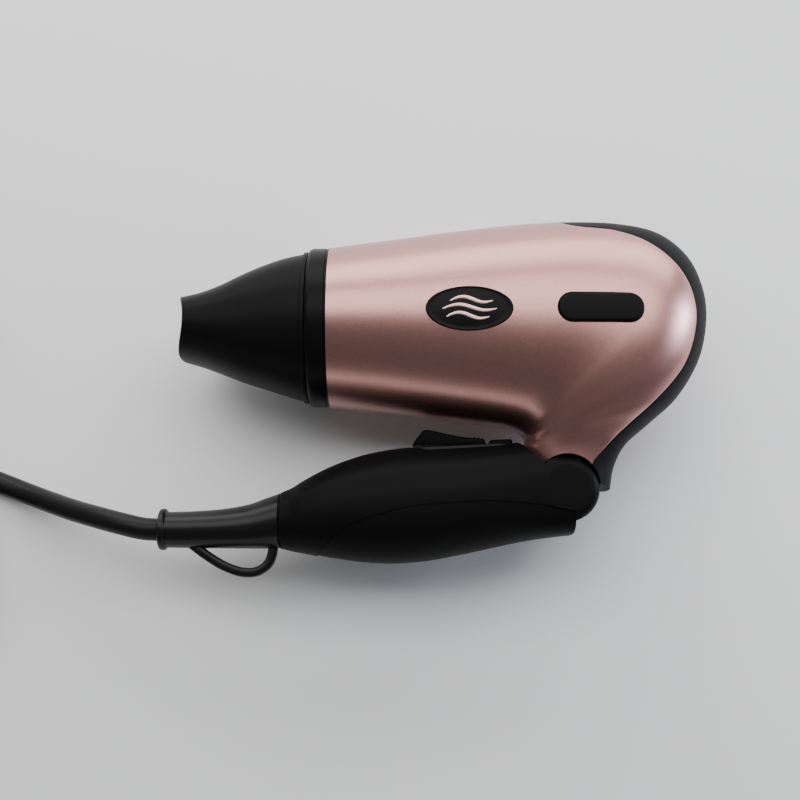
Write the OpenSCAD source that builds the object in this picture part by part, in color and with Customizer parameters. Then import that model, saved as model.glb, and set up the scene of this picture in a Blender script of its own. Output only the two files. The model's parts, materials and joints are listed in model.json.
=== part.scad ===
// Folding travel hair dryer, lying on its side with the handle folded under the barrel.
// X runs from the nozzle to the back, Y from the handle to the top of the barrel,
// Z from the surface it lies on upwards. Millimetres.

/* [Body] */
// Height of the middle plane, where the two halves of the housing meet
mid_z = 29; // [28.8:0.1:31]
// Wall thickness of the moulded shells
wall_t = 2; // [1.6:0.1:2.4]
// Outer radius of the heat-proof ring at the outlet
ring_r = 27.2; // [27:0.1:27.6]
// Length of the outlet ring that shows
ring_len = 7; // [5:0.5:8]
// Length of the rounded pad on each side
pad_len = 27.5; // [20:0.5:32]
// Height of the rounded pad on each side
pad_h = 9.5; // [7:0.5:12]
// Length of the oval badge on each side
badge_len = 28; // [20:1:30]
// Height of the oval badge on each side
badge_h = 14.6; // [10:0.2:18]

/* [Nozzle] */
// Length of the concentrator from its tip to the ring
nozzle_len = 44; // [38:0.5:48]
// Wall thickness of the concentrator
nozzle_t = 1.6; // [1.2:0.1:2]
// Radius of the spigot that turns in the ring
spigot_r = 24; // [23.6:0.1:24]

/* [Fold hinge] */
// Radius of the knuckle
knuckle_r = 10.7; // [10.5:0.1:11.5]
// Half the thickness of the knuckle
knuckle_half = 15.5; // [14.5:0.5:16]
// Half the thickness of the hub between the cheeks
hub_half = 7; // [6:0.5:8]
// Radius of the hinge pin
pin_r = 2.5; // [2:0.25:3]
// How far the barrel opens from the handle, in degrees
fold_deg = 78; // [70:1:80]

/* [Controls] */
// Half the width of the switch slider
slider_half = 6.5; // [5:0.5:7]
// Travel of the switch slider
slider_travel = 8; // [6:1:8]
// Half the width of the cool-shot button
button_half = 4; // [3:0.5:5]

/* [Fan and heater] */
// Radius of the fan over its blades
fan_r = 22.3; // [20:0.1:22.5]
// Number of fan blades
fan_blades = 7; // [5:1:9]
// Number of turns of heating wire
heater_turns = 9; // [6:1:9]
// Radius of the motor can
motor_r = 12; // [10:0.5:12]

/* [Cord] */
// Diameter of the power cord
cord_d = 7.5; // [6:0.1:7.6]
// Number of turns side by side in each layer of the coil
coil_rows = 3; // [2:1:3]
// Radius of the outermost turn, at the middle of the cord
coil_r = 49; // [46:0.5:50]

/* [Hidden] */

// The origin is under the middle of the dryer's box, without its cord
origin_shift = [-2.2, -0.84, 0];

// Air path
axis_y = 24.8;          // height of the barrel's axis
front_x = -34;          // front edge of the painted shells
ring_x = front_x - ring_len;
tip_x = ring_x - nozzle_len;

// Fold hinge
pivot = [43.7, -31.4];
shoulder_deg = 133;     // direction from the pivot of the face that the folded neck rests on
face_off = 2.6;         // from the pivot to the face that stops the opened neck
grip_end_x = pivot[0] + face_off;
fold_gap = 0.4;         // free space between the neck and the handle
hub_r = 9.4;
pocket_r = 9.8;
slot_half = hub_half + 0.35;
bush_r = 4;

// Switch frame: origin on the handle, turned to follow its surface
switch_at = [6, -16.9];
switch_tilt = 2.8;
stem_end = 2.8;         // end of the slot for the slider's stem
stem_slot = slider_travel + 5.4;

// Pads and badges, as places on the side of the housing
pad_x = 53.8;
pad_y = 24.9;
pad_deep = 3.6;
badge_x = 11.9;
badge_y = 24.6;

// Screws
screw_r = 1.2;
boss_r = 3;
head_r = 2.5;
body_screws = [[66, 47], [51, -7], [72, 3]];
handle_screws_at = [[-31.2, -29.6], [-16, -34], [25.6, -31.4]];

// Housing outline stations, from the outlet round the back to the neck:
// inner edge x and y, outer edge x and y, half width, squareness, half width of the dark cover
BODY = [
  [-34, -2.6, -34, 52.2, 27.4, 2, 0],
  [-12, -5.1, -12, 55.3, 27.8, 2, 0],
  [8, -7.5, 10, 58.3, 28.1, 2.05, 0],
  [20, -9, 30, 60.5, 28.3, 2.1, 0],
  [26.5, -10.1, 48, 61.4, 28.5, 2.15, 15],
  [29.6, -11.2, 65, 60.8, 28.4, 2.15, 17.7],
  [30.9, -12.2, 78.5, 57.6, 28.2, 2.15, 19.6],
  [31.6, -13.2, 88, 50, 27.8, 2.15, 19.6],
  [31.9, -14.2, 93, 39.8, 27.2, 2.15, 18.7],
  [31.9, -15, 94.4, 28, 26, 2.15, 17.9],
  [31.5, -15.8, 91.4, 13.5, 24, 2.15, 17.7],
  [31, -16.5, 83.5, 0.3, 21, 2.2, 17.9],
  [30.7, -17.3, 73.3, -9, 18.5, 2.3, 16.2],
  [30.7, -18.5, 65.3, -16, 16.8, 2.4, 14.8],
  [31.5, -21, 61.2, -23.5, 16, 2.4, 15.2],
  [34, -25, 59.6, -31, 15.6, 2.4, 15.3]
];
cover_start = 3.45;     // station where the dark cover begins
body_rows = 38;
body_cols = 18;
cover_cols = 6;

// Handle stations: x, top, bottom, half width, squareness
HANDLE = [
  [-50, -31.8, -50.2, 9.4, 2.1],
  [-46, -30, -51.2, 10.6, 2.1],
  [-41.8, -27.4, -52, 12.3, 2.15],
  [-33.4, -23.1, -53.5, 14.6, 2.2],
  [-22.7, -19.3, -55, 16.4, 2.2],
  [-12, -17.2, -55.5, 17.2, 2.2],
  [-1, -16.3, -54.6, 17.4, 2.2],
  [9, -15.8, -52.8, 17.2, 2.2],
  [20, -15.4, -50.5, 16.7, 2.25],
  [30.5, -15.2, -48.3, 16, 2.3],
  [39, -16, -47, 15.6, 2.4],
  [48, -17, -46, 15.4, 2.4]
];
handle_sides = 28;

// Edge between the handle shells and the rear grip
GROOVE = [
  [-40, -56], [-37, -52], [-33, -48], [-28, -44], [-22, -41.5], [-14, -39], [-4, -37],
  [8, -36], [21, -35.6], [34, -36.6], [42, -38], [50, -39.5]
];

// Nozzle stations from tip to ring, as shares of its length:
// place, middle height, half height, half width, squareness
NOZZLE = [
  [0, 23.9, 10.2, 20, 2.3],
  [0.16, 23.7, 12.1, 20.5, 2.3],
  [0.33, 23.8, 15, 21.4, 2.25],
  [0.49, 24.3, 18.2, 22.4, 2.2],
  [0.64, 24.8, 20.8, 23.5, 2.15],
  [0.81, 25, 23.5, 24.8, 2.05],
  [0.96, 24.8, 25.3, 25.4, 2]
];

// Boot stations: x, top, bottom, half width, squareness
BOOT = [
  [-50, -31.9, -50.1, 9.3, 2.1],
  [-55, -33.6, -50.3, 8.4, 2],
  [-61, -35.7, -50.3, 7.5, 2],
  [-70, -37.2, -50.2, 6.7, 2],
  [-80, -37.9, -50.1, 6.2, 2],
  [-87.5, -38.1, -50, 6, 2]
];
lip_r = 52;             // radius of the curved lips, seen from above
boot_end_x = -90;
boot_y = -43.9;

// Hang loop, as the middle line of its band
LOOP = [
  [-79, -49], [-74, -52.6], [-68, -56.1], [-62, -58], [-57, -57.6], [-53.4, -54.6], [-52, -49]
];
loop_t = 3.2;
loop_half = 2;

// Cord from the boot to the coil, and from the coil to the plug
CORD = [
  [-90, -44, 29], [-95.5, -43.7, 28.9], [-102, -42.3, 28], [-111, -40, 24.5], [-122, -37, 18],
  [-133, -33.5, 11.4], [-143, -30, 6.6], [-151, -27, 4.4], [-158, -24.4, 3.8],
  [-170, -20, 3.8], [-182, -15.5, 3.8]
];
TAIL = [
  [-163, -46, 11.3], [-165.5, -39, 11.4], [-170, -27, 11.6], [-174.5, -14, 11.4],
  [-178, -1, 9.6], [-180, 10, 7.8], [-180.5, 20, 7]
];
coil_at = [-211, -56];
coil_out = coil_r + cord_d / 2;
coil_in = coil_out - coil_rows * cord_d;
plug_at = [-180.5, 20, 7];

// ---------------------------------------------------------------- curves and lofts

function mix(a, b, u) = a + (b - a) * u;

// A smooth curve through the rows of p, s from 0 to the last row
function spline(p, s) =
  let (n = len(p) - 1, i = min(floor(s), n - 1), u = s - i)
  let (a = p[max(i - 1, 0)], b = p[i], c = p[i + 1], d = p[min(i + 2, n)])
  0.5 * (2 * b + (c - a) * u + (2 * a - 5 * b + 4 * c - d) * u * u
         + (3 * b - a - 3 * c + d) * u * u * u);

function smooth_path(p, steps) =
  [for (i = [0:steps]) spline(p, i * (len(p) - 1) / steps)];

function power(v, e) = sign(v) * pow(abs(v), e);

// A point on the housing: s along it, a around it, and how far inside the outer skin
function body_point(s, a, inset) =
  let (k = spline(BODY, s), i = [k[0], k[1]], o = [k[2], k[3]], e = 2 / k[5])
  let (h = norm(o - i) / 2 - inset, w = k[4] - inset, c = (i + o) / 2, d = (o - i) / norm(o - i))
  [c[0] + d[0] * h * power(cos(a), e), c[1] + d[1] * h * power(cos(a), e), w * power(sin(a), e)];

// The angle at which the dark cover meets the painted shell
function seam_deg(s) =
  let (k = spline(BODY, s), open = min(1, max(0, (s - cover_start) / 0.55)))
  s <= cover_start ? 0 : asin(pow(min(k[6] * sqrt(open * (2 - open)), k[4] * 0.98) / k[4], k[5] / 2));

function body_row(i) = i * (len(BODY) - 1) / body_rows;

function skin(first, lo, hi, cols, inset) =
  [for (i = [first:body_rows], c = [0:cols])
    let (s = body_row(i)) body_point(s, mix(lo * seam_deg(s), hi[0] + hi[1] * seam_deg(s), c / cols), inset)];

// Faces of a slab between two skins of n rows and m columns
function slab_faces(n, m) =
  let (w = m + 1, all = n * w)
  let (loop = concat([for (c = [0:m - 1]) c], [for (r = [0:n - 2]) r * w + m],
                     [for (c = [m:-1:1]) (n - 1) * w + c], [for (r = [n - 1:-1:1]) r * w]))
  concat(
    [for (r = [0:n - 2], c = [0:m - 1]) each let (a = r * w + c)
      [[a, a + w + 1, a + 1], [a, a + w, a + w + 1]]],
    [for (r = [0:n - 2], c = [0:m - 1]) each let (a = all + r * w + c)
      [[a, a + 1, a + w + 1], [a, a + w + 1, a + w]]],
    [for (j = [0:len(loop) - 1]) each let (p = loop[j], q = loop[(j + 1) % len(loop)])
      [[p, q, q + all], [p, q + all, p + all]]]);

// Rings joined into one closed solid
function ring_faces(rings, sides) =
  concat([[for (j = [0:sides - 1]) j]],
         [[for (j = [sides - 1:-1:0]) (rings - 1) * sides + j]],
         [for (i = [0:rings - 2], j = [0:sides - 1]) each
           let (a = i * sides + j, b = i * sides + (j + 1) % sides)
           [[a, a + sides, b + sides], [a, b + sides, b]]]);

function oval_ring(x, mid, h, w, n, sides) =
  [for (j = [0:sides - 1]) let (a = 360 * j / sides)
    [x, mid + h * power(cos(a), 2 / n), w * power(sin(a), 2 / n)]];

// A loft through stations of x, top, bottom, half width and squareness
module x_loft(stations, steps, sides, inset) {
  rows = smooth_path(stations, steps);
  points = [for (k = rows) each
    oval_ring(k[0], (k[1] + k[2]) / 2, (k[1] - k[2]) / 2 - inset, k[3] - inset, k[4], sides)];
  faces = ring_faces(steps + 1, sides);
  forwards = rows[0][0] < rows[steps][0];
  polyhedron(points, forwards ? faces : [for (f = faces) [for (j = [len(f) - 1:-1:0]) f[j]]], 2);
}

// A round tube of diameter d along a list of points
module sweep(path, d, sides) {
  n = len(path) - 1;
  rings = [for (i = [0:n])
    let (t = path[min(i + 1, n)] - path[max(i - 1, 0)], f = t / norm(t))
    let (u = cross([0, 0, 1], f), side = u / norm(u), up = cross(f, side))
    [for (j = [0:sides - 1]) let (a = 360 * (j + 0.5) / sides)
      path[i] + (side * cos(a) + up * sin(a)) * d / 2]];
  polyhedron([for (r = rings) each r], ring_faces(n + 1, sides), 2);
}

// Everything inside becomes one mesh
module as_mesh() {
  resize([0, 0, 0]) union() children();
}

module placed() {
  translate(origin_shift) children();
}

module at_mid() {
  translate([0, 0, mid_z]) children();
}

// Turned so that local Z lies along X on the barrel's axis
module on_axis(x) {
  translate([x, axis_y, mid_z]) rotate([0, 90, 0]) children();
}

module at_switch() {
  translate([switch_at[0], switch_at[1], mid_z]) rotate([0, 0, switch_tilt]) children();
}

module half_space(side) {
  translate([-200, -200, side > 0 ? 0 : -100]) cube([400, 400, 100]);
}

// ---------------------------------------------------------------- shared cuts

// The space that the neck leaves for the handle when the dryer is folded and while it opens
module neck_cut() {
  translate([pivot[0], pivot[1], -60]) {
    cylinder(r = knuckle_r + fold_gap, h = 120, $fn = 72);
    rotate([0, 0, shoulder_deg]) translate([0, -fold_gap, 0]) cube([24, 14, 120]);
    rotate([0, 0, fold_deg]) translate([-30, -40, 0]) cube([30 + face_off + fold_gap, 40, 120]);
  }
}

// The space that the handle leaves for the neck
module handle_cut() {
  translate([pivot[0], pivot[1], -60]) difference() {
    union() {
      rotate([0, 0, shoulder_deg - 90]) cube([60, 60, 120]);
      rotate([0, 0, shoulder_deg - 180]) cube([60, 60, 120]);
    }
    translate([0, 0, -1]) cylinder(r = knuckle_r - 0.05, h = 122, $fn = 72);
    translate([-1, -60, -1]) cube([face_off + 1, 60 - knuckle_r + 4, 122]);
  }
}

module pill(len, high, tall) {
  translate([-(len - high) / 2, -high / 2, 0]) cube([len - high, high, tall]);
  for (x = [-1, 1]) translate([x * (len - high) / 2, 0, 0]) cylinder(d = high, h = tall, $fn = 48);
}

module groove_region() {
  edge = smooth_path(GROOVE, 30);
  translate([0, 0, -60]) linear_extrude(120)
    polygon(concat(edge, [[50, -70], [-40, -70]]));
}

module screw(length) {
  cylinder(r = screw_r, h = length, $fn = 24);
  difference() {
    translate([0, 0, -2]) cylinder(r = head_r, h = 2, $fn = 32);
    translate([-1.8, -0.35, -2.1]) cube([3.6, 0.7, 1]);
    translate([-0.35, -1.8, -2.1]) cube([0.7, 3.6, 1]);
  }
}

// ---------------------------------------------------------------- housing

module painted_half() {
  n = body_rows + 1;
  polyhedron(concat(skin(0, 1, [180, 0], body_cols, 0), skin(0, 1, [180, 0], body_cols, wall_t)),
             slab_faces(n, body_cols), 2);
}

module body_solid(inset) {
  rings = [for (i = [0:body_rows]) [for (j = [0:35]) body_point(body_row(i), 10 * j, inset)]];
  polyhedron([for (r = rings) each r], ring_faces(body_rows + 1, 36), 2);
}

module boss(tall, hole) {
  difference() {
    cylinder(r = boss_r, h = tall, $fn = 20);
    translate([0, 0, -1]) cylinder(r = hole, h = tall + 2, $fn = 20);
  }
}

// Screw bosses of one half, from just beside the middle plane to outside the skin
module screw_bosses(places, side) {
  for (p = places) translate([p[0], p[1], side > 0 ? 0.02 : -30]) boss(29.98, screw_r + 0.15);
}

// Recesses for the screw heads, open to the right side, down to a depth below the middle plane
module head_recesses(places, depth) {
  for (p = places) translate([p[0], p[1], -60]) cylinder(r = head_r + 0.2, h = 60 - depth, $fn = 24);
}

module housing_half(side) {
  as_mesh() difference() {
    union() {
      mirror([0, 0, side > 0 ? 0 : 1]) painted_half();
      intersection() {
        screw_bosses(body_screws, side);
        body_solid(wall_t / 2);
      }
    }
    neck_cut();
    translate([pad_x, pad_y, side > 0 ? 10 : -40]) pill(pad_len + 0.1, pad_h + 0.1, 30);
    if (side < 0) head_recesses(body_screws, 10);
  }
}

module housing_shell_left() {
  color("rosybrown") at_mid() housing_half(1);
}

module housing_shell_right() {
  color("rosybrown") at_mid() housing_half(-1);
}

module rear_inlet_cover() {
  first = ceil((cover_start + 0.02) * body_rows / (len(BODY) - 1));
  n = body_rows - first + 1;
  color([0.1, 0.1, 0.11]) at_mid() as_mesh() difference() {
    polyhedron(concat(skin(first, -0.99, [0, 0.99], cover_cols, 0),
                      skin(first, -0.99, [0, 0.99], cover_cols, wall_t)),
               slab_faces(n, cover_cols), 2);
    neck_cut();
    for (i = [-4:4]) translate([80, 29 + 2.3 * i, -10]) cube([30, 1.1, 20]);
  }
}

module inlet_filter() {
  color([0.2, 0.2, 0.21]) translate([85.2, 17, mid_z - 11]) {
    difference() {
      cube([1, 24, 22]);
      translate([-1, 1.5, 1.5]) cube([3, 21, 19]);
    }
    for (i = [1:6]) translate([0, 3 * i + 1.2, 1]) cube([1, 0.6, 20]);
    for (i = [1:5]) translate([0, 1, 3.2 * i + 1.2]) cube([1, 22, 0.6]);
  }
}

module side_pad_left() {
  color([0.08, 0.08, 0.09]) translate([pad_x, pad_y, 2 * mid_z - pad_deep]) pill(pad_len, pad_h, pad_deep);
}

module side_pad_right() {
  color([0.08, 0.08, 0.09]) translate([pad_x, pad_y, 0]) pill(pad_len, pad_h, pad_deep);
}

module badge_plate(side) {
  oval = [for (j = [0:35]) [badge_len / 2 * cos(10 * j), badge_h / 2 * sin(10 * j)]];
  as_mesh() intersection() {
    difference() {
      body_solid(-0.55);
      body_solid(-0.03);
    }
    translate([badge_x, badge_y, side > 0 ? 5 : -45]) linear_extrude(40) polygon(oval);
  }
}

module badge_left() {
  color([0.06, 0.06, 0.07]) at_mid() badge_plate(1);
}

module badge_right() {
  color([0.06, 0.06, 0.07]) at_mid() badge_plate(-1);
}

module outlet_ring() {
  color([0.1, 0.1, 0.1]) on_axis(0) rotate_extrude($fn = 96)
    polygon([
      [spigot_r + 0.1, ring_x], [ring_r - 0.8, ring_x], [ring_r, ring_x + 0.9],
      [ring_r, front_x], [25.1, front_x], [25.1, front_x + 5], [23.4, front_x + 5],
      [23.4, front_x - 0.6], [spigot_r + 0.1, front_x - 0.6]
    ]);
}

module outlet_grille() {
  color([0.15, 0.15, 0.15]) on_axis(front_x + 1) {
    difference() {
      cylinder(r = 23.3, h = 2, $fn = 64);
      translate([0, 0, -1]) cylinder(r = 22.1, h = 4, $fn = 64);
    }
    for (r = [7, 15]) difference() {
      cylinder(r = r + 0.6, h = 2, $fn = 48);
      translate([0, 0, -1]) cylinder(r = r - 0.6, h = 4, $fn = 48);
    }
    for (a = [0:45:315]) rotate([0, 0, a]) translate([6.6, -0.6, 0]) cube([16.2, 1.2, 2]);
  }
}

// ---------------------------------------------------------------- heater, fan and motor

module heater_sleeve() {
  color("wheat") on_axis(-27.5) difference() {
    cylinder(r = 23.4, h = 40, $fn = 72);
    translate([0, 0, -1]) cylinder(r = 22.8, h = 42, $fn = 72);
  }
}

module heater_boards() {
  color("tan") on_axis(-27) {
    translate([-22.4, -0.4, 0]) cube([44.8, 0.8, 39]);
    translate([-0.4, -22.4, 0]) cube([0.8, 44.8, 39]);
  }
}

module heater_coils() {
  color("silver") for (i = [0:heater_turns - 1]) on_axis(-24 + 4.1 * i)
    rotate_extrude($fn = 48) translate([18, 0]) circle(r = 0.7, $fn = 16);
}

module thermostat() {
  color("gainsboro") translate([12, axis_y + 6, mid_z - 4]) {
    cube([2, 9, 8]);
    translate([2, 4.5, 4]) rotate([0, 90, 0]) cylinder(r = 3.2, h = 3, $fn = 24);
  }
}

module thermal_fuse() {
  color("beige") translate([12, axis_y - 12, mid_z + 8]) {
    translate([2, 0, 0]) rotate([0, 0, 0]) translate([-0.2, 0, 0]) cylinder(r = 1.8, h = 9, $fn = 24);
    translate([1.8, 0, -2]) cylinder(r = 0.5, h = 13, $fn = 16);
  }
}

module fan_duct() {
  color([0.25, 0.25, 0.27]) {
    on_axis(34) difference() {
      cylinder(r = 24.6, h = 27, $fn = 72);
      translate([0, 0, -1]) cylinder(r = 23.4, h = 29, $fn = 72);
    }
    on_axis(26) difference() {
      cylinder(r = motor_r + 1.4, h = 20, $fn = 48);
      translate([0, 0, -1]) cylinder(r = motor_r + 0.02, h = 22, $fn = 48);
    }
    for (a = [0:60:300])
      on_axis(36) rotate([0, 0, a]) translate([motor_r + 0.8, -0.6, 0]) cube([11.2, 1.2, 9]);
  }
}

module motor() {
  color("silver") on_axis(20) difference() {
    union() {
      cylinder(r = motor_r, h = 26, $fn = 48);
      cylinder(r = 4, h = 28, $fn = 32);
    }
    translate([0, 0, -1]) cylinder(r = 1.25, h = 30, $fn = 32);
  }
}

module motor_shaft() {
  color("gray") on_axis(15.5) cylinder(r = 1.2, h = 43.5, $fn = 32);
}

module fan_impeller() {
  color("ivory") difference() {
    union() {
      on_axis(49) cylinder(r = 8, h = 9, $fn = 48);
      for (i = [0:fan_blades - 1]) on_axis(53.5) rotate([0, 0, i * 360 / fan_blades])
        translate([7, 0, 0]) rotate([38, 0, 0]) translate([0, -5.5, -0.5]) cube([fan_r - 7.6, 11, 1]);
    }
    on_axis(48) cylinder(r = 1.2, h = 11, $fn = 32);
  }
}

module rectifier_board() {
  color("darkgreen") on_axis(17.6) difference() {
    cylinder(r = 10, h = 1.4, $fn = 40);
    translate([0, 0, -1]) cylinder(r = 3, h = 4, $fn = 24);
  }
}

module rectifier_diodes() {
  color("black") for (a = [45:90:315]) on_axis(17.6) rotate([0, 0, a])
    translate([6.5, -2.2, -1.4]) rotate([-90, 0, 0]) cylinder(r = 1.38, h = 4.4, $fn = 20);
}

module body_leads() {
  ends = [[35.6, -16, -3.2], [35.6, -14, 0], [35.6, -12, 3.2]];
  tops = [[17, 12, -6], [16, 10, 0], [15, 12, 6]];
  tints = ["firebrick", "white", "royalblue"];
  for (i = [0:2]) color(tints[i]) at_mid()
    sweep(smooth_path([ends[i], ends[i] + [-1, 4.5, 0], [32, -4.5, ends[i][2]], [21, -3.5, ends[i][2]],
                       [tops[i][0], tops[i][1] - 10, tops[i][2]], tops[i]], 10), 1.8, 6);
}

module hinge_hub() {
  wall_r = knuckle_r + fold_gap + 0.2;
  web_half = hub_half - 0.4;
  color([0.12, 0.12, 0.12]) translate([pivot[0], pivot[1], mid_z]) difference() {
    union() {
      translate([0, 0, -hub_half]) cylinder(r = hub_r, h = 2 * hub_half, $fn = 64);
      rotate([0, 0, 88]) translate([2, -6.8, -web_half]) cube([18, 13.2, 2 * web_half]);
      translate([0, 0, -12]) linear_extrude(24) polygon(concat(
        [for (a = [42:8:130]) (wall_r + 2.8) * [cos(a), sin(a)]],
        [for (a = [130:-8:42]) wall_r * [cos(a), sin(a)]]));
    }
    translate([0, 0, -hub_half - 1]) cylinder(r = pin_r + 0.05, h = 2 * hub_half + 2, $fn = 48);
  }
}

module housing_screws() {
  color("silver") for (p = body_screws) translate([p[0], p[1], mid_z - 10]) screw(24);
}

// ---------------------------------------------------------------- handle

module knuckle() {
  translate([pivot[0], pivot[1], 0]) rotate_extrude($fn = 60) intersection() {
    translate([0, -knuckle_half]) square([knuckle_r, 2 * knuckle_half]);
    offset(r = 4, $fn = 16) translate([-knuckle_r, 4 - knuckle_half])
      square([2 * knuckle_r - 4, 2 * knuckle_half - 8]);
  }
}

module handle_outer() {
  difference() {
    intersection() {
      x_loft(HANDLE, 25, handle_sides, 0);
      translate([-100, -100, -50]) cube([100 + grip_end_x, 200, 100]);
    }
    handle_cut();
  }
  knuckle();
}

module handle_inner() {
  difference() {
    intersection() {
      x_loft(HANDLE, 18, handle_sides, wall_t);
      translate([-48, -100, -50]) cube([94, 200, 100]);
    }
    translate([pivot[0], pivot[1], -60]) cylinder(r = knuckle_r + 2.5, h = 120, $fn = 60);
    translate([pivot[0], pivot[1], -60]) rotate([0, 0, shoulder_deg]) translate([0, -30, 0])
      cube([60, 32, 120]);
  }
}

module hinge_pocket() {
  translate([pivot[0], pivot[1], -slot_half]) {
    cylinder(r = pocket_r, h = 2 * slot_half, $fn = 64);
    rotate([0, 0, shoulder_deg - 90]) cube([30, 30, 2 * slot_half]);
    rotate([0, 0, shoulder_deg - 180]) cube([30, 30, 2 * slot_half]);
  }
  translate([pivot[0], pivot[1], -12.5]) cylinder(r = bush_r + 0.05, h = 25, $fn = 40);
}

module bezel_pocket() {
  rotate([90, 0, 0]) translate([5, 0, -3]) pill(38.2, 17.2, 5.6);
}

module handle_half(side) {
  as_mesh() intersection() {
    difference() {
      union() {
        difference() {
          handle_outer();
          handle_inner();
          difference() {
            groove_region();
            translate([pivot[0], pivot[1], -70]) cylinder(r = knuckle_r + 0.06, h = 140, $fn = 72);
          }
        }
        intersection() {
          screw_bosses(handle_screws_at, side);
          x_loft(HANDLE, 18, handle_sides, wall_t / 2);
        }
      }
      hinge_pocket();
      translate([switch_at[0], switch_at[1], 0]) rotate([0, 0, switch_tilt]) bezel_pocket();
      translate([-55, boot_y + 2.9, 0]) rotate([0, 90, 0]) cylinder(r = 5.6, h = 10, $fn = 40);
      if (side < 0) head_recesses(handle_screws_at, 9);
    }
    half_space(side);
  }
}

module handle_shell_left() {
  color([0.07, 0.07, 0.07]) at_mid() handle_half(1);
}

module handle_shell_right() {
  color([0.07, 0.07, 0.07]) at_mid() handle_half(-1);
}

module rear_grip() {
  color([0.1, 0.1, 0.1]) at_mid() as_mesh() intersection() {
    difference() {
      intersection() {
        x_loft(HANDLE, 25, handle_sides, 0);
        translate([-100, -100, -50]) cube([100 + grip_end_x, 200, 100]);
      }
      x_loft(HANDLE, 18, handle_sides, wall_t);
      translate([pivot[0], pivot[1], -60]) cylinder(r = knuckle_r + 0.1, h = 120, $fn = 72);
    }
    translate([0, -0.1, 0]) groove_region();
  }
}

module switch_bezel() {
  color([0.12, 0.12, 0.12]) at_switch() difference() {
    rotate([90, 0, 0]) translate([5, 0, 0]) pill(38, 17, 2.4);
    translate([stem_end - stem_slot, -4, -2.4]) cube([stem_slot, 8, 4.8]);
    translate([13.4, -4, -button_half - 0.25]) cube([8.5, 8, 2 * button_half + 0.5]);
  }
}

module switch_slider() {
  color([0.05, 0.05, 0.05]) at_switch() {
    translate([0, 0, -slider_half]) linear_extrude(2 * slider_half)
      polygon([
        [-12, 1.15], [-8.3, 5.6], [-7.4, 6.1], [-4.8, 5.7], [2, 3.7], [10.8, 2], [12.2, 1.2],
        [12.2, 0.3], [-2, 0.3], [-2, 1.15]
      ]);
    translate([-2, -5.4, -2]) cube([4, 5.8, 4]);
  }
}

module cool_shot_button() {
  color([0.08, 0.08, 0.08]) at_switch() {
    translate([13.65, -1.8, -button_half]) cube([8, 3.1, 2 * button_half]);
    translate([16.6, -4.1, -1.2]) cube([2, 2.4, 2.4]);
  }
}

module switch_module() {
  color("dimgray") at_switch() difference() {
    translate([-12, -15, -6]) cube([24, 12.4, 12]);
    translate([stem_end - stem_slot, -7, -2.4]) cube([stem_slot, 5, 4.8]);
  }
}

module micro_switch() {
  color("dimgray") at_switch() translate([14, -10, -3]) cube([7.4, 4.4, 6]);
}

module cord_clamp() {
  color("dimgray") translate([-42.5, boot_y + 2.9, mid_z]) {
    for (z = [-5.6, 3.8]) difference() {
      translate([-2, -6.2, z]) cube([4, 12.4, 1.8]);
      for (y = [-4.9, 4.9]) translate([0, y, z - 1]) cylinder(r = 0.9, h = 4, $fn = 20);
    }
  }
}

module clamp_screws() {
  color("silver") for (y = [-4.9, 4.9]) translate([-42.5, boot_y + 2.9 + y, mid_z - 5.6]) {
    cylinder(r = 0.9, h = 11.2, $fn = 20);
    translate([0, 0, 11.2]) cylinder(r = 1.4, h = 0.9, $fn = 24);
  }
}

module hang_loop() {
  edge = smooth_path(LOOP, 24);
  n = len(edge) - 1;
  function side(i) = let (t = edge[min(i + 1, n)] - edge[max(i - 1, 0)]) [-t[1], t[0]] / norm(t);
  translate([0, 0, -loop_half]) linear_extrude(2 * loop_half) polygon(concat(
    [for (i = [0:n]) edge[i] + side(i) * loop_t / 2],
    [for (i = [n:-1:0]) edge[i] - side(i) * loop_t / 2]));
}

module cord_boot() {
  color([0.08, 0.08, 0.08]) at_mid() as_mesh() {
    x_loft(BOOT, 14, 24, 0);
    translate([boot_end_x, boot_y, 0]) rotate([0, 90, 0]) {
      cylinder(r1 = 6.2, r2 = 6.9, h = 0.8, $fn = 32);
      translate([0, 0, 0.8]) cylinder(r = 6.9, h = 1.4, $fn = 32);
      translate([0, 0, 2.2]) cylinder(r1 = 6.9, r2 = 6, h = 0.8, $fn = 32);
    }
    translate([-52, boot_y + 2.9, 0]) rotate([0, 90, 0]) cylinder(r = 5.5, h = 4.1, $fn = 32);
    translate([-47.95, boot_y + 2.9, 0]) rotate([0, 90, 0]) cylinder(r = 6.6, h = 2, $fn = 32);
    hang_loop();
  }
}

module supply_lead() {
  color([0.08, 0.08, 0.08]) translate([-45.9, boot_y + 2.9, mid_z]) rotate([0, 90, 0])
    cylinder(d = cord_d, h = 10, $fn = 32);
}

module handle_leads() {
  tints = ["firebrick", "white", "royalblue"];
  for (i = [0:2]) let (k = i - 1) color(tints[i]) at_mid()
    sweep(smooth_path([[-35.8, -41 + k, 2.2 * k], [-28, -40, 3 * k], [-16, -41, 3 * k], [4, -42, 3 * k],
                       [20, -39, 3 * k], [28.5, -36.5, 2.4 * k]], 12), 1.8, 6);
}

module handle_screws() {
  color("silver") for (p = handle_screws_at) translate([p[0], p[1], mid_z - 9]) screw(17);
}

module hinge_pin() {
  color("silver") translate([pivot[0], pivot[1], mid_z - 12]) cylinder(r = pin_r, h = 24, $fn = 48);
}

module hinge_bushes() {
  color("goldenrod") for (z = [-12.4, slot_half]) translate([pivot[0], pivot[1], mid_z + z]) difference() {
    cylinder(r = bush_r, h = 12.4 - slot_half, $fn = 48);
    translate([0, 0, -1]) cylinder(r = pin_r, h = 8, $fn = 48);
  }
}

// ---------------------------------------------------------------- nozzle

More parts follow.
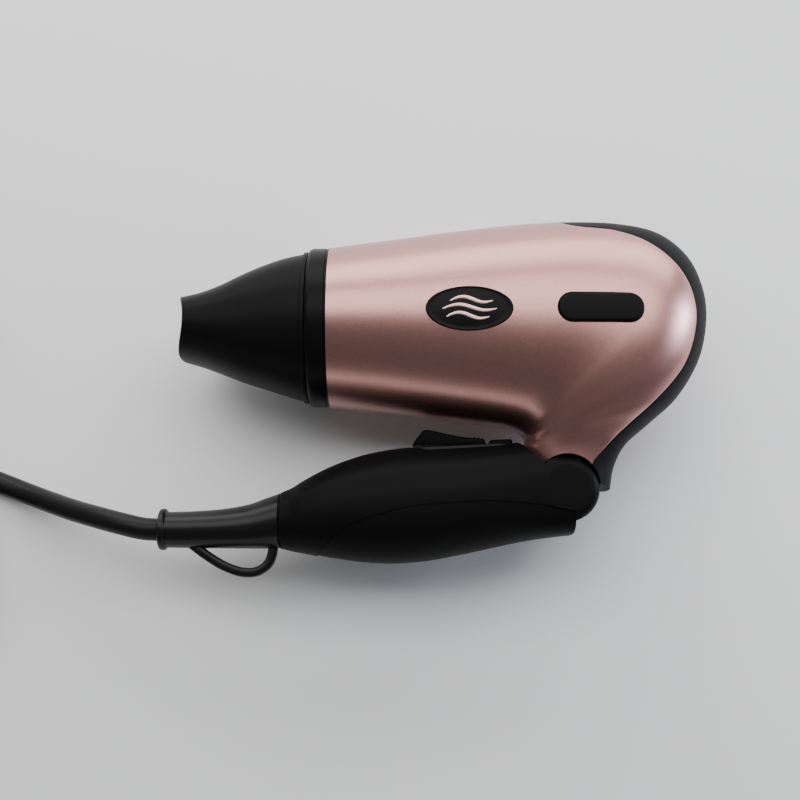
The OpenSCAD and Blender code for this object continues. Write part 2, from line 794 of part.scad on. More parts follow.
module nozzle_form(inset) {
  rows = [for (k = NOZZLE) [mix(tip_x, ring_x, k[0]), k[1] + k[2], k[1] - k[2], k[3], k[4]]];
  x_loft(rows, 12, 36, inset);
}

module concentrator_nozzle() {
  collar_x = mix(tip_x, ring_x, 0.96);
  color([0.06, 0.06, 0.06]) {
    at_mid() as_mesh() intersection() {
      difference() {
        nozzle_form(0);
        nozzle_form(nozzle_t);
      }
      translate([tip_x + lip_r, 0, 0]) rotate([-90, 0, 0])
        translate([0, 0, -10]) cylinder(r = lip_r, h = 80, $fn = 180);
    }
    on_axis(0) rotate_extrude($fn = 96) polygon([
      [spigot_r - 1.6, collar_x - 1.2], [24.4, collar_x - 1.2], [25.6, collar_x],
      [26, collar_x + 0.4], [26, ring_x - 0.1],
      [spigot_r, ring_x - 0.1], [spigot_r, ring_x + 5], [spigot_r - 1.6, ring_x + 5]
    ]);
  }
}

// ---------------------------------------------------------------- cord and plug

module power_cord() {
  color([0.09, 0.09, 0.09]) sweep(smooth_path(CORD, 22), cord_d, 8);
}

module cord_tail() {
  color([0.09, 0.09, 0.09]) sweep(smooth_path(TAIL, 12), cord_d, 8);
}

module cord_coil() {
  color([0.09, 0.09, 0.09]) translate([coil_at[0], coil_at[1], 0]) rotate_extrude($fn = 96)
    translate([coil_in, 0]) square([coil_out - coil_in, 2 * cord_d]);
}

module cord_tie() {
  color("black") translate([coil_at[0], coil_at[1], 0]) rotate([0, 0, 200]) translate([0, -4, 0])
    difference() {
      translate([coil_in - 1.2, 0, 0]) cube([coil_out - coil_in + 2.4, 8, 2 * cord_d + 1.2]);
      translate([coil_in, -1, 1]) cube([coil_out - coil_in, 10, 2 * cord_d - 1]);
    }
}

module plug_body() {
  color([0.07, 0.07, 0.07]) translate(plug_at) {
    rotate([-90, 0, 0]) cylinder(r = 5, h = 10, $fn = 32);
    translate([-8, 10, -5.5]) cube([16, 4, 11]);
    translate([-12, 14, -7]) cube([24, 20, 14]);
  }
}

module plug_blades() {
  color("gold") translate(plug_at) for (x = [-6.35, 6.35])
    translate([x - 0.75, 34, -3.2]) cube([1.5, 17, 6.4]);
}

placed() handle_shell_left();
placed() handle_shell_right();
placed() rear_grip();
placed() switch_bezel();
placed() switch_module();
placed() micro_switch();
placed() cord_clamp();
placed() clamp_screws();
placed() cord_boot();
placed() supply_lead();
placed() handle_leads();
placed() handle_screws();
placed() hinge_pin();
placed() hinge_bushes();
placed() power_cord();
placed() cord_coil();
placed() cord_tail();
placed() cord_tie();
placed() plug_body();
placed() plug_blades();
placed() switch_slider();
placed() cool_shot_button();
placed() housing_shell_left();
placed() housing_shell_right();
placed() rear_inlet_cover();
placed() inlet_filter();
placed() side_pad_left();
placed() side_pad_right();
placed() badge_left();
placed() badge_right();
placed() outlet_ring();
placed() outlet_grille();
placed() heater_sleeve();
placed() heater_boards();
placed() heater_coils();
placed() thermostat();
placed() thermal_fuse();
placed() fan_duct();
placed() motor();
placed() rectifier_board();
placed() rectifier_diodes();
placed() body_leads();
placed() hinge_hub();
placed() housing_screws();
placed() motor_shaft();
placed() fan_impeller();
placed() concentrator_nozzle();
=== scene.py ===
"""Looks of the folding travel hair dryer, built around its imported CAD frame."""
import json
import math

import bmesh
import bpy
import numpy as np
from mathutils import Vector
from mathutils.bvhtree import BVHTree
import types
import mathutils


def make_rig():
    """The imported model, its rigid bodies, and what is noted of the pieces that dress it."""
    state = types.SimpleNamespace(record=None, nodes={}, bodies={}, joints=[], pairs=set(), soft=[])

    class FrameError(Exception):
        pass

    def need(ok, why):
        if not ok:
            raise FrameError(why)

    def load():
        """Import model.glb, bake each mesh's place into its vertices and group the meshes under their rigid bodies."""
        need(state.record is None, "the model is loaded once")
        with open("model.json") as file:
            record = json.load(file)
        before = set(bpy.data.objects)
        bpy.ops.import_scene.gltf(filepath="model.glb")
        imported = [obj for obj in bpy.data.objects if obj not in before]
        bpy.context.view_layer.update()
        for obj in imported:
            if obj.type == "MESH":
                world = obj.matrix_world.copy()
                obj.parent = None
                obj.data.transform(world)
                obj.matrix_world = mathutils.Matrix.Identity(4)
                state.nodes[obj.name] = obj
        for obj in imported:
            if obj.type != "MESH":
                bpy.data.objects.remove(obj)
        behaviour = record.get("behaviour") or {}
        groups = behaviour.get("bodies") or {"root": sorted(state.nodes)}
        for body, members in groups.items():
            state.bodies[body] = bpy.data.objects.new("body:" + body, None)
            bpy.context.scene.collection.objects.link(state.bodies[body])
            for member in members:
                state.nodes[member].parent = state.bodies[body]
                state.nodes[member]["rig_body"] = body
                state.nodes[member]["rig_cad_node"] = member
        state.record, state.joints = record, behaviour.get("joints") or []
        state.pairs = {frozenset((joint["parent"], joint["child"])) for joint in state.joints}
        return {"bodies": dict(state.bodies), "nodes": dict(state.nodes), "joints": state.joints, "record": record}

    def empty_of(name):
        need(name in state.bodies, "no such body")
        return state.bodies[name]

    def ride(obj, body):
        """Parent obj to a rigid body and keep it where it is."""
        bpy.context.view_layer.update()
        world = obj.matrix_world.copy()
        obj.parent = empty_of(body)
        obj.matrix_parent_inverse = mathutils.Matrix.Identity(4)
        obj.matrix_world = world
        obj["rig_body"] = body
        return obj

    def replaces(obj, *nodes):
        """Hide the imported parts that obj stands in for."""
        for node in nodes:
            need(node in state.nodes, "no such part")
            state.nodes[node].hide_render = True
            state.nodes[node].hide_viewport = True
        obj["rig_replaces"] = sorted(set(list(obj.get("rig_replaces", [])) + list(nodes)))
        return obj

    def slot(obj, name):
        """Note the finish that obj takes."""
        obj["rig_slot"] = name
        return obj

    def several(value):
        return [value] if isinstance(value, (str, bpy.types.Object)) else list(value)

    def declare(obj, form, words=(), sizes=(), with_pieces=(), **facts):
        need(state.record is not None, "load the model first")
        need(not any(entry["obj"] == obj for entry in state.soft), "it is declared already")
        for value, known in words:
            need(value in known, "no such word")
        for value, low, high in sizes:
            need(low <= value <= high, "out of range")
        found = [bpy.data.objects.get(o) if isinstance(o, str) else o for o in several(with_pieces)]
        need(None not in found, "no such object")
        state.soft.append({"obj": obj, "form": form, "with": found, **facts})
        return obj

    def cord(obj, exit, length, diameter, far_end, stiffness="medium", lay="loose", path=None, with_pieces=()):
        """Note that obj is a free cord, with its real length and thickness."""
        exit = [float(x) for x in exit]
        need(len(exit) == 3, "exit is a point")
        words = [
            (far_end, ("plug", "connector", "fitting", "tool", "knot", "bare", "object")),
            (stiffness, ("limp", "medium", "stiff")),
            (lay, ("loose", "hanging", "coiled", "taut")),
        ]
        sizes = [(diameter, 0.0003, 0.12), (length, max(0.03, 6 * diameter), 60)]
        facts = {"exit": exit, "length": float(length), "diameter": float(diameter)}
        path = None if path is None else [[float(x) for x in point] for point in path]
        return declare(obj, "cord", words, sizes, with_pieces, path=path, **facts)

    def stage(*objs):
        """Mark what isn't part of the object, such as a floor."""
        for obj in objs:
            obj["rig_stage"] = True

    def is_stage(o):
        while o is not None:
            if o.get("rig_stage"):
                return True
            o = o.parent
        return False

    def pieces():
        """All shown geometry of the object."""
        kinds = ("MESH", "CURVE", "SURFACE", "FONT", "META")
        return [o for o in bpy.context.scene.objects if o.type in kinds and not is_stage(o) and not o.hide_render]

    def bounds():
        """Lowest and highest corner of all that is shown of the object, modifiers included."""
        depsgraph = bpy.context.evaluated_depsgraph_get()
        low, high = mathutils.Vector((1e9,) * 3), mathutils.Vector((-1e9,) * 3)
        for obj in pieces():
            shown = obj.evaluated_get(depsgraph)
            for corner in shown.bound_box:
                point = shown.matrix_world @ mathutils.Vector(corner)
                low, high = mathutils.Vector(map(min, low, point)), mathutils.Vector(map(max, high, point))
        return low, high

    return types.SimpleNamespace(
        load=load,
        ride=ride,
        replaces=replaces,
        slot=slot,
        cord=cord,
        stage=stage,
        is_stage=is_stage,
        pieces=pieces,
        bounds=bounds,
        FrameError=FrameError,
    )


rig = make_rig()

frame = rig.load()
cad_low, cad_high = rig.bounds()

MM = 0.001
fold_joint = next(j for j in frame["record"]["behaviour"]["joints"] if j["name"] == "handle_fold")

# ------------------------------------------------------------------ the design's own frame, in millimetres
# Shapes are described in a frame whose fold pivot and barrel axis are as below, with its middle plane
# at z = 0. The fold joint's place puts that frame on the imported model.
PIVOT = (43.7, -31.4)
AXIS_Y = 24.8
fold_at = fold_joint["pos_m"]
SHIFT = Vector((fold_at[0] / MM - PIVOT[0], fold_at[1] / MM - PIVOT[1], fold_at[2] / MM))
FLOOR_Z = -SHIFT.z
FOLD_DEG = fold_joint["range_deg"][1]

# Along the barrel: the shells' front, the ring's front and the nozzle's tip
FRONT_X = -34
RING_X = -41
TIP_X = -85

# Hinge: the slope of the handle's shoulder, its end face past the pivot, and the round knuckle
SHOULDER_DEG = 133
FACE_OFF = 2.6
KNUCKLE_R = 10.7
KNUCKLE_HALF = 15.5
KNUCKLE_EDGE = 3.6
NECK_GAP = 0.3

SWITCH_AT = (6, -16.9)
SWITCH_TILT = 2.8
BOOT_Y = -43.9
PAD_AT = (53.8, 24.9)
PAD_SIZE = (27.5, 9.5)
BADGE_AT = (11.9, 24.6)
BADGE_SIZE = (28, 14.6)

# Screws of the right side, and how deep their recesses' floors lie
BARREL_SCREWS = ((66, 47), (51, -7), (72, 3))
HANDLE_SCREWS = ((-31.2, -29.6), (-16, -34), (25.6, -31.4))
BARREL_SCREW_Z = -10
HANDLE_SCREW_Z = -9
RECESS_R = 2.8

CORD_D = 7.5
COIL_AT = (-211, -56)
COIL_OUTER_R = 49
COIL_INNER_R = 34
COIL_LAYERS_Z = (3.76, 11.26)
PLUG_AT = (-180.5, 20, 7)

# Rows along the housing from its front round to the neck's end:
# inner edge x and y, outer edge x and y, half width, squareness, half width of the dark cover
BODY = [
    (-34, -2.6, -34, 52.2, 27.4, 2, 0), (-12, -5.1, -12, 55.3, 27.8, 2, 0),
    (8, -7.5, 10, 58.3, 28.1, 2.05, 0), (20, -9, 30, 60.5, 28.3, 2.1, 0),
    (26.5, -10.1, 48, 61.4, 28.5, 2.15, 15), (29.6, -11.2, 65, 60.8, 28.4, 2.15, 17.7),
    (30.9, -12.2, 78.5, 57.6, 28.2, 2.15, 19.6), (31.6, -13.2, 88, 50, 27.8, 2.15, 19.6),
    (31.9, -14.2, 93, 39.8, 27.2, 2.15, 18.7), (31.9, -15, 94.4, 28, 26, 2.15, 17.9),
    (31.5, -15.8, 91.4, 13.5, 24, 2.15, 17.7), (31, -16.5, 83.5, 0.3, 21, 2.2, 17.9),
    (30.7, -17.3, 73.3, -9, 18.5, 2.3, 16.2), (30.7, -18.5, 65.3, -16, 16.8, 2.4, 14.8),
    (31.5, -21, 61.2, -23.5, 16, 2.4, 15.2), (34, -25, 59.6, -31, 15.6, 2.4, 15.3),
]
# Where the dark cover begins, counted in rows of BODY
COVER_START = 3.45

# Handle: x, top, bottom, half width, squareness
HANDLE = [
    (-50, -31.8, -50.2, 9.4, 2.1), (-46, -30, -51.2, 10.6, 2.1), (-41.8, -27.4, -52, 12.3, 2.15),
    (-33.4, -23.1, -53.5, 14.6, 2.2), (-22.7, -19.3, -55, 16.4, 2.2), (-12, -17.2, -55.5, 17.2, 2.2),
    (-1, -16.3, -54.6, 17.4, 2.2), (9, -15.8, -52.8, 17.2, 2.2), (20, -15.4, -50.5, 16.7, 2.35),
    (30.5, -15.2, -48.3, 16, 2.7), (39, -16, -47, 15.5, 3.3), (48, -17, -46, 15.4, 3.8),
]
# The line between the handle's shells and its back grip
GROOVE = [
    (-40, -56), (-37, -52), (-33, -48), (-28, -44), (-22, -41.5), (-14, -39), (-4, -37),
    (8, -36), (21, -35.6), (34, -36.6), (42, -38), (50, -39.5),
]
# Nozzle: share of the length from tip to ring, middle height, half height, half width, squareness
NOZZLE = [
    (0, 23.9, 10.2, 20, 2.3), (0.16, 23.7, 12.1, 20.5, 2.3), (0.33, 23.8, 15, 21.4, 2.25),
    (0.49, 24.3, 18.2, 22.4, 2.2), (0.64, 24.8, 20.8, 23.5, 2.15), (0.81, 25, 23.5, 24.8, 2.05),
    (0.96, 24.8, 25.3, 25.4, 2),
]
# Cord boot: as the handle. Its hang loop: x and y.
BOOT = [
    (-50, -31.9, -50.1, 9.3, 2.1), (-55, -33.6, -50.3, 8.4, 2), (-61, -35.7, -50.3, 7.5, 2),
    (-70, -37.2, -50.2, 6.7, 2), (-80, -37.9, -50.1, 6.2, 2), (-87.5, -38.1, -50, 6, 2),
]
LOOP = [
    (-79, -49), (-74, -52.6), (-68, -56.1), (-62, -58), (-57, -57.6), (-53.4, -54.6), (-52, -49),
]
# The cord's route outside the coil: from the boot to the coil, and from the coil to the plug.
# Here z is measured from the floor.
CORD = [
    (-90, -44, 29), (-95.5, -43.7, 28.9), (-102, -42.3, 28), (-111, -40, 24.5), (-122, -37, 18),
    (-133, -33.5, 11.4), (-143, -30, 6.6), (-151, -27, 4.4), (-158, -24.4, 3.8),
    (-170, -20, 3.8), (-182, -15.5, 3.8),
]
TAIL = [
    (-163, -46, 11.3), (-165.5, -39, 11.4), (-170, -27, 11.6), (-174.5, -14, 11.4),
    (-178, -1, 9.6), (-180, 10, 7.8), (-180.5, 20, 7),
]


# ------------------------------------------------------------------ camera
def make_camera():
    target = (Vector((-10.2, -0.2, 0)) + SHIFT) * MM
    distance = 0.357
    elevation = math.radians(80)
    data = bpy.data.cameras.new("camera")
    data.lens = 47.25
    data.sensor_width = 36
    data.clip_start = 0.01
    camera = bpy.data.objects.new("camera", data)
    bpy.context.scene.collection.objects.link(camera)
    back = Vector((0, -math.cos(elevation), math.sin(elevation)))
    camera.location = target + back * distance
    camera.rotation_mode = "QUATERNION"
    camera.rotation_quaternion = (-back).to_track_quat("-Z", "Y")
    bpy.context.scene.camera = camera


# ------------------------------------------------------------------ curves and outlines
def spline(rows, s):
    """A smooth curve through the rows, s from 0 to the last row."""
    points = np.asarray(rows, float)
    last = len(points) - 1
    i = min(int(math.floor(s)), last - 1)
    u = s - i
    start, end = points[i], points[i + 1]
    before, after = points[max(i - 1, 0)], points[min(i + 2, last)]
    return 0.5 * (2 * start + (end - before) * u + (2 * before - 5 * start + 4 * end - after) * u**2
                  + (3 * start - before - 3 * end + after) * u**3)


def smooth_path(rows, steps):
    return [spline(rows, i * (len(rows) - 1) / steps) for i in range(steps + 1)]


def power(value, exponent):
    return math.copysign(abs(value) ** exponent, value)


def angles(count):
    return [2 * math.pi * i / count for i in range(count)]


def to_row(point):
    """A point of the design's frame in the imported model's frame, in metres."""
    return tuple((point[k] + SHIFT[k]) * MM for k in range(3))


def circle(radius, at=(0, 0), sides=96, start=0, end=360):
    count = sides if end - start == 360 else sides + 1
    turns = [math.radians(start + (end - start) * i / sides) for i in range(count)]
    return [(at[0] + radius * math.cos(t), at[1] + radius * math.sin(t)) for t in turns]


def pill(length, high, at=(0, 0), sides=20):
    half = (length - high) / 2
    right = circle(high / 2, (at[0] + half, at[1]), sides, -90, 90)
    left = circle(high / 2, (at[0] - half, at[1]), sides, 90, 270)
    return right + left


def rectangle(x0, y0, x1, y1):
    return [(x0, y0), (x1, y0), (x1, y1), (x0, y1)]


def turned(outline, degrees, at):
    """An outline turned round the origin, then moved to its place."""
    c, s = math.cos(math.radians(degrees)), math.sin(math.radians(degrees))
    return [(at[0] + x * c - y * s, at[1] + x * s + y * c) for x, y in outline]


def upright_oval(x, middle_y, half_y, half_z, squareness, sides):
    """A rounded section across the X axis: a squareness of 2 is an ellipse, and more is boxier."""
    exponent = 2 / squareness
    return [(x, middle_y + half_y * power(math.cos(t), exponent), half_z * power(math.sin(t), exponent))
            for t in angles(sides)]


def oval_of_row(row, inset, sides):
    """The section that a row of x, top, bottom, half width and squareness describes."""
    x, top, bottom, half_z, squareness = row
    return upright_oval(x, (top + bottom) / 2, (top - bottom) / 2 - inset, half_z - inset, squareness, sides)


# ------------------------------------------------------------------ meshes
def new_object(name, points, faces, smooth=35):
    mesh = bpy.data.meshes.new(name)
    mesh.from_pydata([to_row(p) for p in points], [], faces)
    mesh.update()
    obj = bpy.data.objects.new(name, mesh)
    bpy.context.scene.collection.objects.link(obj)
    outwards(obj)
    shade(obj, smooth)
    return obj


def outwards(obj):
    bm = bmesh.new()
    bm.from_mesh(obj.data)
    bmesh.ops.recalc_face_normals(bm, faces=bm.faces)
    bm.to_mesh(obj.data)
    bm.free()


def shade(obj, angle=35):
    """Smooth faces, with edges sharper than the angle kept sharp."""
    mesh = obj.data
    bm = bmesh.new()
    bm.from_mesh(mesh)
    for face in bm.faces:
        face.smooth = True
    for edge in bm.edges:
        sharp = len(edge.link_faces) == 2 and edge.calc_face_angle(0) > math.radians(angle)
        edge.smooth = not sharp
    bm.to_mesh(mesh)
    bm.free()


def apply_modifiers(obj):
    graph = bpy.context.evaluated_depsgraph_get()
    mesh = bpy.data.meshes.new_from_object(obj.evaluated_get(graph))
    old = obj.data
    obj.modifiers.clear()
    obj.data = mesh
    bpy.data.meshes.remove(old)


def remove(obj):
    mesh = obj.data
    bpy.data.objects.remove(obj)
    bpy.data.meshes.remove(mesh)


def boolean(obj, others, operation="DIFFERENCE", keep=False):
    """Cuts, joins or intersects obj with each of the others, which are deleted unless kept."""
    for other in others:
        modifier = obj.modifiers.new("boolean", "BOOLEAN")
        modifier.object = other
        modifier.operation = operation
        modifier.solver = "EXACT"
        apply_modifiers(obj)
        if not keep:
            remove(other)
    return obj


def mirrored(obj, name):
    """A copy of obj on the other side of the dryer's middle plane."""
    copy = bpy.data.objects.new(name, obj.data.copy())
    copy.data.name = name
    bpy.context.scene.collection.objects.link(copy)
    middle = SHIFT.z * MM
    bm = bmesh.new()
    bm.from_mesh(copy.data)
    for vertex in bm.verts:
        vertex.co.z = 2 * middle - vertex.co.z
    bmesh.ops.reverse_faces(bm, faces=bm.faces)
    bm.to_mesh(copy.data)
    bm.free()
    return copy


def band_faces(rows, sides, closed):
    """Quads between neighbouring rings of points, and from the last ring to the first if closed."""
    spans = rows if closed else rows - 1
    return [[i * sides + j, i * sides + (j + 1) % sides,
             (i + 1) % rows * sides + (j + 1) % sides, (i + 1) % rows * sides + j]
            for i in range(spans) for j in range(sides)]


def loft(name, rings, smooth=35):
    """Rings of points joined into one solid with flat ends."""
    sides = len(rings[0])
    points = [p for ring in rings for p in ring]
    faces = band_faces(len(rings), sides, False)
    faces.append(list(range(sides))[::-1])
    faces.append([(len(rings) - 1) * sides + j for j in range(sides)])
    return new_object(name, points, faces, smooth)


def closed_loft(name, rings, smooth=35):
    """Rings of points joined into a solid that closes on itself, such as a tube's wall."""
    points = [p for ring in rings for p in ring]
    return new_object(name, points, band_faces(len(rings), len(rings[0]), True), smooth)


def stack(name, outline_at, levels, smooth=40):
    """A solid of flat outlines: outline_at(size) at each (size, z) level."""
    return loft(name, [[(x, y, z) for x, y in outline_at(size)] for size, z in levels], smooth)


def prism(name, outline, z0, z1):
    return stack(name, lambda size: outline, ((0, z0), (0, z1)), 35)


CUT_REACH = 60


def cutter(outline, z0=-CUT_REACH, z1=CUT_REACH):
    """A prism for cutting with, which reaches past both sides of the dryer."""
    return prism("cutter", outline, z0, z1)


def cut_recesses(obj, places, floor_z):
    """Round screw recesses in the right side."""
    for place in places:
        boolean(obj, [cutter(circle(RECESS_R, place, 40), -CUT_REACH, floor_z)])


def lathe(name, profile, sides=144, smooth=30):
    """A closed profile of radius and x, turned round the barrel's axis."""
    rings = [[(x, AXIS_Y + r * math.cos(t), r * math.sin(t)) for r, x in profile] for t in angles(sides)]
    return closed_loft(name, rings, smooth)


def round_over(radius, top, steps):
    """Levels for a rounded top edge: (inset, z) from the side up to the flat."""
    turns = [math.radians(90 * i / steps) for i in range(steps + 1)]
    return [(radius * (1 - math.cos(t)), top - radius * (1 - math.sin(t))) for t in turns]


# ------------------------------------------------------------------ material nodes
def node_tree(name):
    material = bpy.data.materials.new(name)
    material.use_nodes = True
    tree = material.node_tree
    return material, tree, tree.nodes["Principled BSDF"]


def add(tree, kind, **values):
    node = tree.nodes.new(kind)
    for key, value in values.items():
        if hasattr(node, key):
            setattr(node, key, value)
        else:
            node.inputs[key].default_value = value
    return node


def object_coordinates(tree):
    return add(tree, "ShaderNodeTexCoord").outputs["Object"]


def ramp(tree, source, low, high):
    """Maps a 0 to 1 value onto low to high."""
    node = add(tree, "ShaderNodeMapRange")
    node.inputs["To Min"].default_value = low
    node.inputs["To Max"].default_value = high
    tree.links.new(source, node.inputs["Value"])
    return node.outputs["Result"]


def total(tree, first, second):
    node = add(tree, "ShaderNodeMath", operation="ADD")
    tree.links.new(first, node.inputs[0])
    tree.links.new(second, node.inputs[1])
    return node.outputs[0]


def two_tone(tree, source, dark, light):
    node = add(tree, "ShaderNodeMix", data_type="RGBA")
    node.inputs[6].default_value = (*dark, 1)
    node.inputs[7].default_value = (*light, 1)
    tree.links.new(source, node.inputs[0])
    return node.outputs[2]


def noise(tree, coords, scale, detail=4, rough=0.55):
    node = add(tree, "ShaderNodeTexNoise", Scale=scale, Detail=detail, Roughness=rough)
    tree.links.new(coords, node.inputs["Vector"])
    return node.outputs["Fac"]


def relief(tree, bsdf, height, strength, distance):
    node = add(tree, "ShaderNodeBump", Strength=strength, Distance=distance)
    tree.links.new(height, node.inputs["Height"])
    tree.links.new(node.outputs["Normal"], bsdf.inputs["Normal"])


def shades(colour, darker, lighter):
    return [c * darker for c in colour], [min(1, c * lighter) for c in colour]


# ------------------------------------------------------------------ materials
def plastic(name, colour, rough, grain, grain_scale, spread, shine):
    """Moulded plastic: a fine spark-eroded grain, broad changes of gloss and a few handling marks."""
    material, tree, bsdf = node_tree(name)
    coords = object_coordinates(tree)
    broad = noise(tree, coords, 28, 3)
    marks = noise(tree, coords, 420, 6, 0.7)
    tone = two_tone(tree, broad, *shades(colour, 1 - spread, 1 + spread))
    tree.links.new(tone, bsdf.inputs["Base Color"])
    gloss = total(tree, ramp(tree, broad, rough - 0.05, rough + 0.03), ramp(tree, marks, -0.03, 0.05))
    tree.links.new(gloss, bsdf.inputs["Roughness"])
    relief(tree, bsdf, noise(tree, coords, grain_scale, 3), grain, 0.00004)
    bsdf.inputs["Specular IOR Level"].default_value = shine
    return material


def flake_paint(name, colour):
    """Metallic paint: flakes of differing tone and tilt under a thin satin lacquer."""
    material, tree, bsdf = node_tree(name)
    coords = object_coordinates(tree)
    flakes = add(tree, "ShaderNodeTexVoronoi", Scale=5200)
    tree.links.new(coords, flakes.inputs["Vector"])
    parted = add(tree, "ShaderNodeSeparateColor")
    tree.links.new(flakes.outputs["Color"], parted.inputs["Color"])
    broad = noise(tree, coords, 16, 3)
    cloud = noise(tree, coords, 520, 4)
    mix = total(tree, ramp(tree, parted.outputs["Red"], 0.0, 0.7), ramp(tree, broad, -0.05, 0.35))
    tree.links.new(two_tone(tree, mix, *shades(colour, 0.86, 1.14)), bsdf.inputs["Base Color"])
    tree.links.new(ramp(tree, cloud, 0.29, 0.35), bsdf.inputs["Roughness"])
    relief(tree, bsdf, parted.outputs["Green"], 0.16, 0.00003)
    bsdf.inputs["Metallic"].default_value = 0.9
    bsdf.inputs["Coat Weight"].default_value = 0.15
    bsdf.inputs["Coat Roughness"].default_value = 0.2
    return material


def metal(name, colour, rough):
    """Turned or drawn metal, brushed along X."""
    material, tree, bsdf = node_tree(name)
    coords = object_coordinates(tree)
    stretched = add(tree, "ShaderNodeMapping")
    stretched.inputs["Scale"].default_value = (0.08, 1, 1)
    tree.links.new(coords, stretched.inputs["Vector"])
    lines = noise(tree, stretched.outputs["Vector"], 900, 5)
    tint = noise(tree, coords, 60, 3)
    tree.links.new(two_tone(tree, tint, *shades(colour, 0.85, 1)), bsdf.inputs["Base Color"])
    tree.links.new(ramp(tree, lines, rough - 0.1, rough + 0.14), bsdf.inputs["Roughness"])
    relief(tree, bsdf, lines, 0.12, 0.00003)
    bsdf.inputs["Metallic"].default_value = 1
    return material


# slot: colour, roughness, depth and scale of the grain, spread of the colour, shine
PLASTICS = {
    "handle_black": ((0.0055, 0.0055, 0.0057), 0.42, 0.22, 1900, 0.12, 0.05),
    "grip_black": ((0.0045, 0.0045, 0.0047), 0.52, 0.35, 1500, 0.12, 0.07),
    "cover_black": ((0.009, 0.009, 0.0094), 0.50, 0.3, 1700, 0.12, 0.05),
    "pad_black": ((0.0065, 0.0065, 0.0067), 0.46, 0.3, 1700, 0.12, 0.06),
    "badge_black": ((0.007, 0.007, 0.0072), 0.34, 0.08, 3000, 0.12, 0.07),
    "ring_black": ((0.006, 0.006, 0.0062), 0.32, 0.1, 2600, 0.12, 0.06),
    "nozzle_black": ((0.0075, 0.0075, 0.0078), 0.38, 0.12, 2400, 0.12, 0.045),
    "switch_black": ((0.0025, 0.0025, 0.0027), 0.3, 0.04, 2600, 0.12, 0.025),
    "bezel_black": ((0.0075, 0.0075, 0.0078), 0.38, 0.15, 2200, 0.12, 0.15),
    "boot_rubber": ((0.007, 0.007, 0.0072), 0.3, 0.25, 1600, 0.12, 0.22),
    "cord_rubber": ((0.009, 0.009, 0.0092), 0.38, 0.35, 1400, 0.12, 0.16),
    "plug_black": ((0.008, 0.008, 0.0082), 0.42, 0.3, 1500, 0.12, 0.25),
    "inner_plastic": ((0.03, 0.03, 0.031), 0.5, 0.2, 1500, 0.12, 0.25),
    "filter_mesh": ((0.03, 0.03, 0.03), 0.55, 0.3, 1500, 0.12, 0.25),
    "fan_plastic": ((0.62, 0.60, 0.52), 0.42, 0.1, 1500, 0.06, 0.25),
    "mica": ((0.55, 0.44, 0.24), 0.35, 0.2, 700, 0.2, 0.5),
    "board_green": ((0.02, 0.13, 0.05), 0.3, 0.1, 900, 0.12, 0.5),
    "lead_insulation": ((0.35, 0.05, 0.035), 0.35, 0.05, 900, 0.12, 0.5),
}
# slot: colour, roughness
METALS = {
    "brass_blades": ((0.72, 0.55, 0.26), 0.28),
    "steel": ((0.60, 0.60, 0.61), 0.32),
    "bush_brass": ((0.66, 0.48, 0.2), 0.35),
    "heating_wire": ((0.42, 0.38, 0.34), 0.38),
    "thermal_parts": ((0.62, 0.62, 0.6), 0.4),
}
MATERIALS = {"pink_paint": flake_paint("pink_paint", (0.51, 0.262, 0.236))}
MATERIALS.update({slot: plastic(slot, *values) for slot, values in PLASTICS.items()})
MATERIALS.update({slot: metal(slot, *values) for slot, values in METALS.items()})
EMBLEM = metal("emblem_rose", (0.66, 0.44, 0.40), 0.34)


def piece(obj, body, slot, replaces=(), material=None):
    """Gives a piece its material, body and slot."""
    obj.data.materials.clear()
    obj.data.materials.append(material or MATERIALS[slot])
    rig.ride(obj, body)
    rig.slot(obj, slot)
    if replaces:
        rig.replaces(obj, *replaces)
    return obj


def finish_cad_nodes():
    """Every CAD node gets the material of its slot."""
    for part in frame["record"]["subparts"]:
        obj = frame["nodes"][part["node"]]
        obj.data.materials.clear()
        obj.data.materials.append(MATERIALS[part["material_slot"]])


# ------------------------------------------------------------------ cord
# The coil's first and last angle and the step between its points, in degrees
COIL_ANGLES = (76, 1800, 12)
# Angles over which the coil's turns step inwards, climb to the second layer and step outwards
STEPS_IN = ((370, 430), (730, 790))
CLIMB = (1005, 1125)
STEPS_OUT = ((1310, 1370), (1670, 1730))


def step_at(angle, start, end):
    """0 before start, 1 after end, smooth between."""
    u = min(1, max(0, (angle - start) / (end - start)))
    return u * u * (3 - 2 * u)


def coil_point(angle):
    """The wound cord's middle: three rows inwards on the floor, then three outwards on top."""
    r = COIL_OUTER_R - CORD_D * sum(step_at(angle, *span) for span in STEPS_IN)
    r += CORD_D * sum(step_at(angle, *span) for span in STEPS_OUT)
    low, high = COIL_LAYERS_Z
    z = low + (high - low) * step_at(angle, *CLIMB)
    a = math.radians(angle)
    return (COIL_AT[0] + r * math.cos(a), COIL_AT[1] + r * math.sin(a), z)


def tube_rings(path, radius, sides):
    """Round sections across a path that runs more or less level."""
    rings = []
    for i, point in enumerate(path):
        before, after = path[max(i - 1, 0)], path[min(i + 1, len(path) - 1)]
        along = (Vector(after) - Vector(before)).normalized()
        side = Vector((0, 0, 1)).cross(along).normalized()
        up = along.cross(side)
        rings.append([Vector(point) + (side * math.cos(t) + up * math.sin(t)) * radius
                      for t in angles(sides)])
    return rings


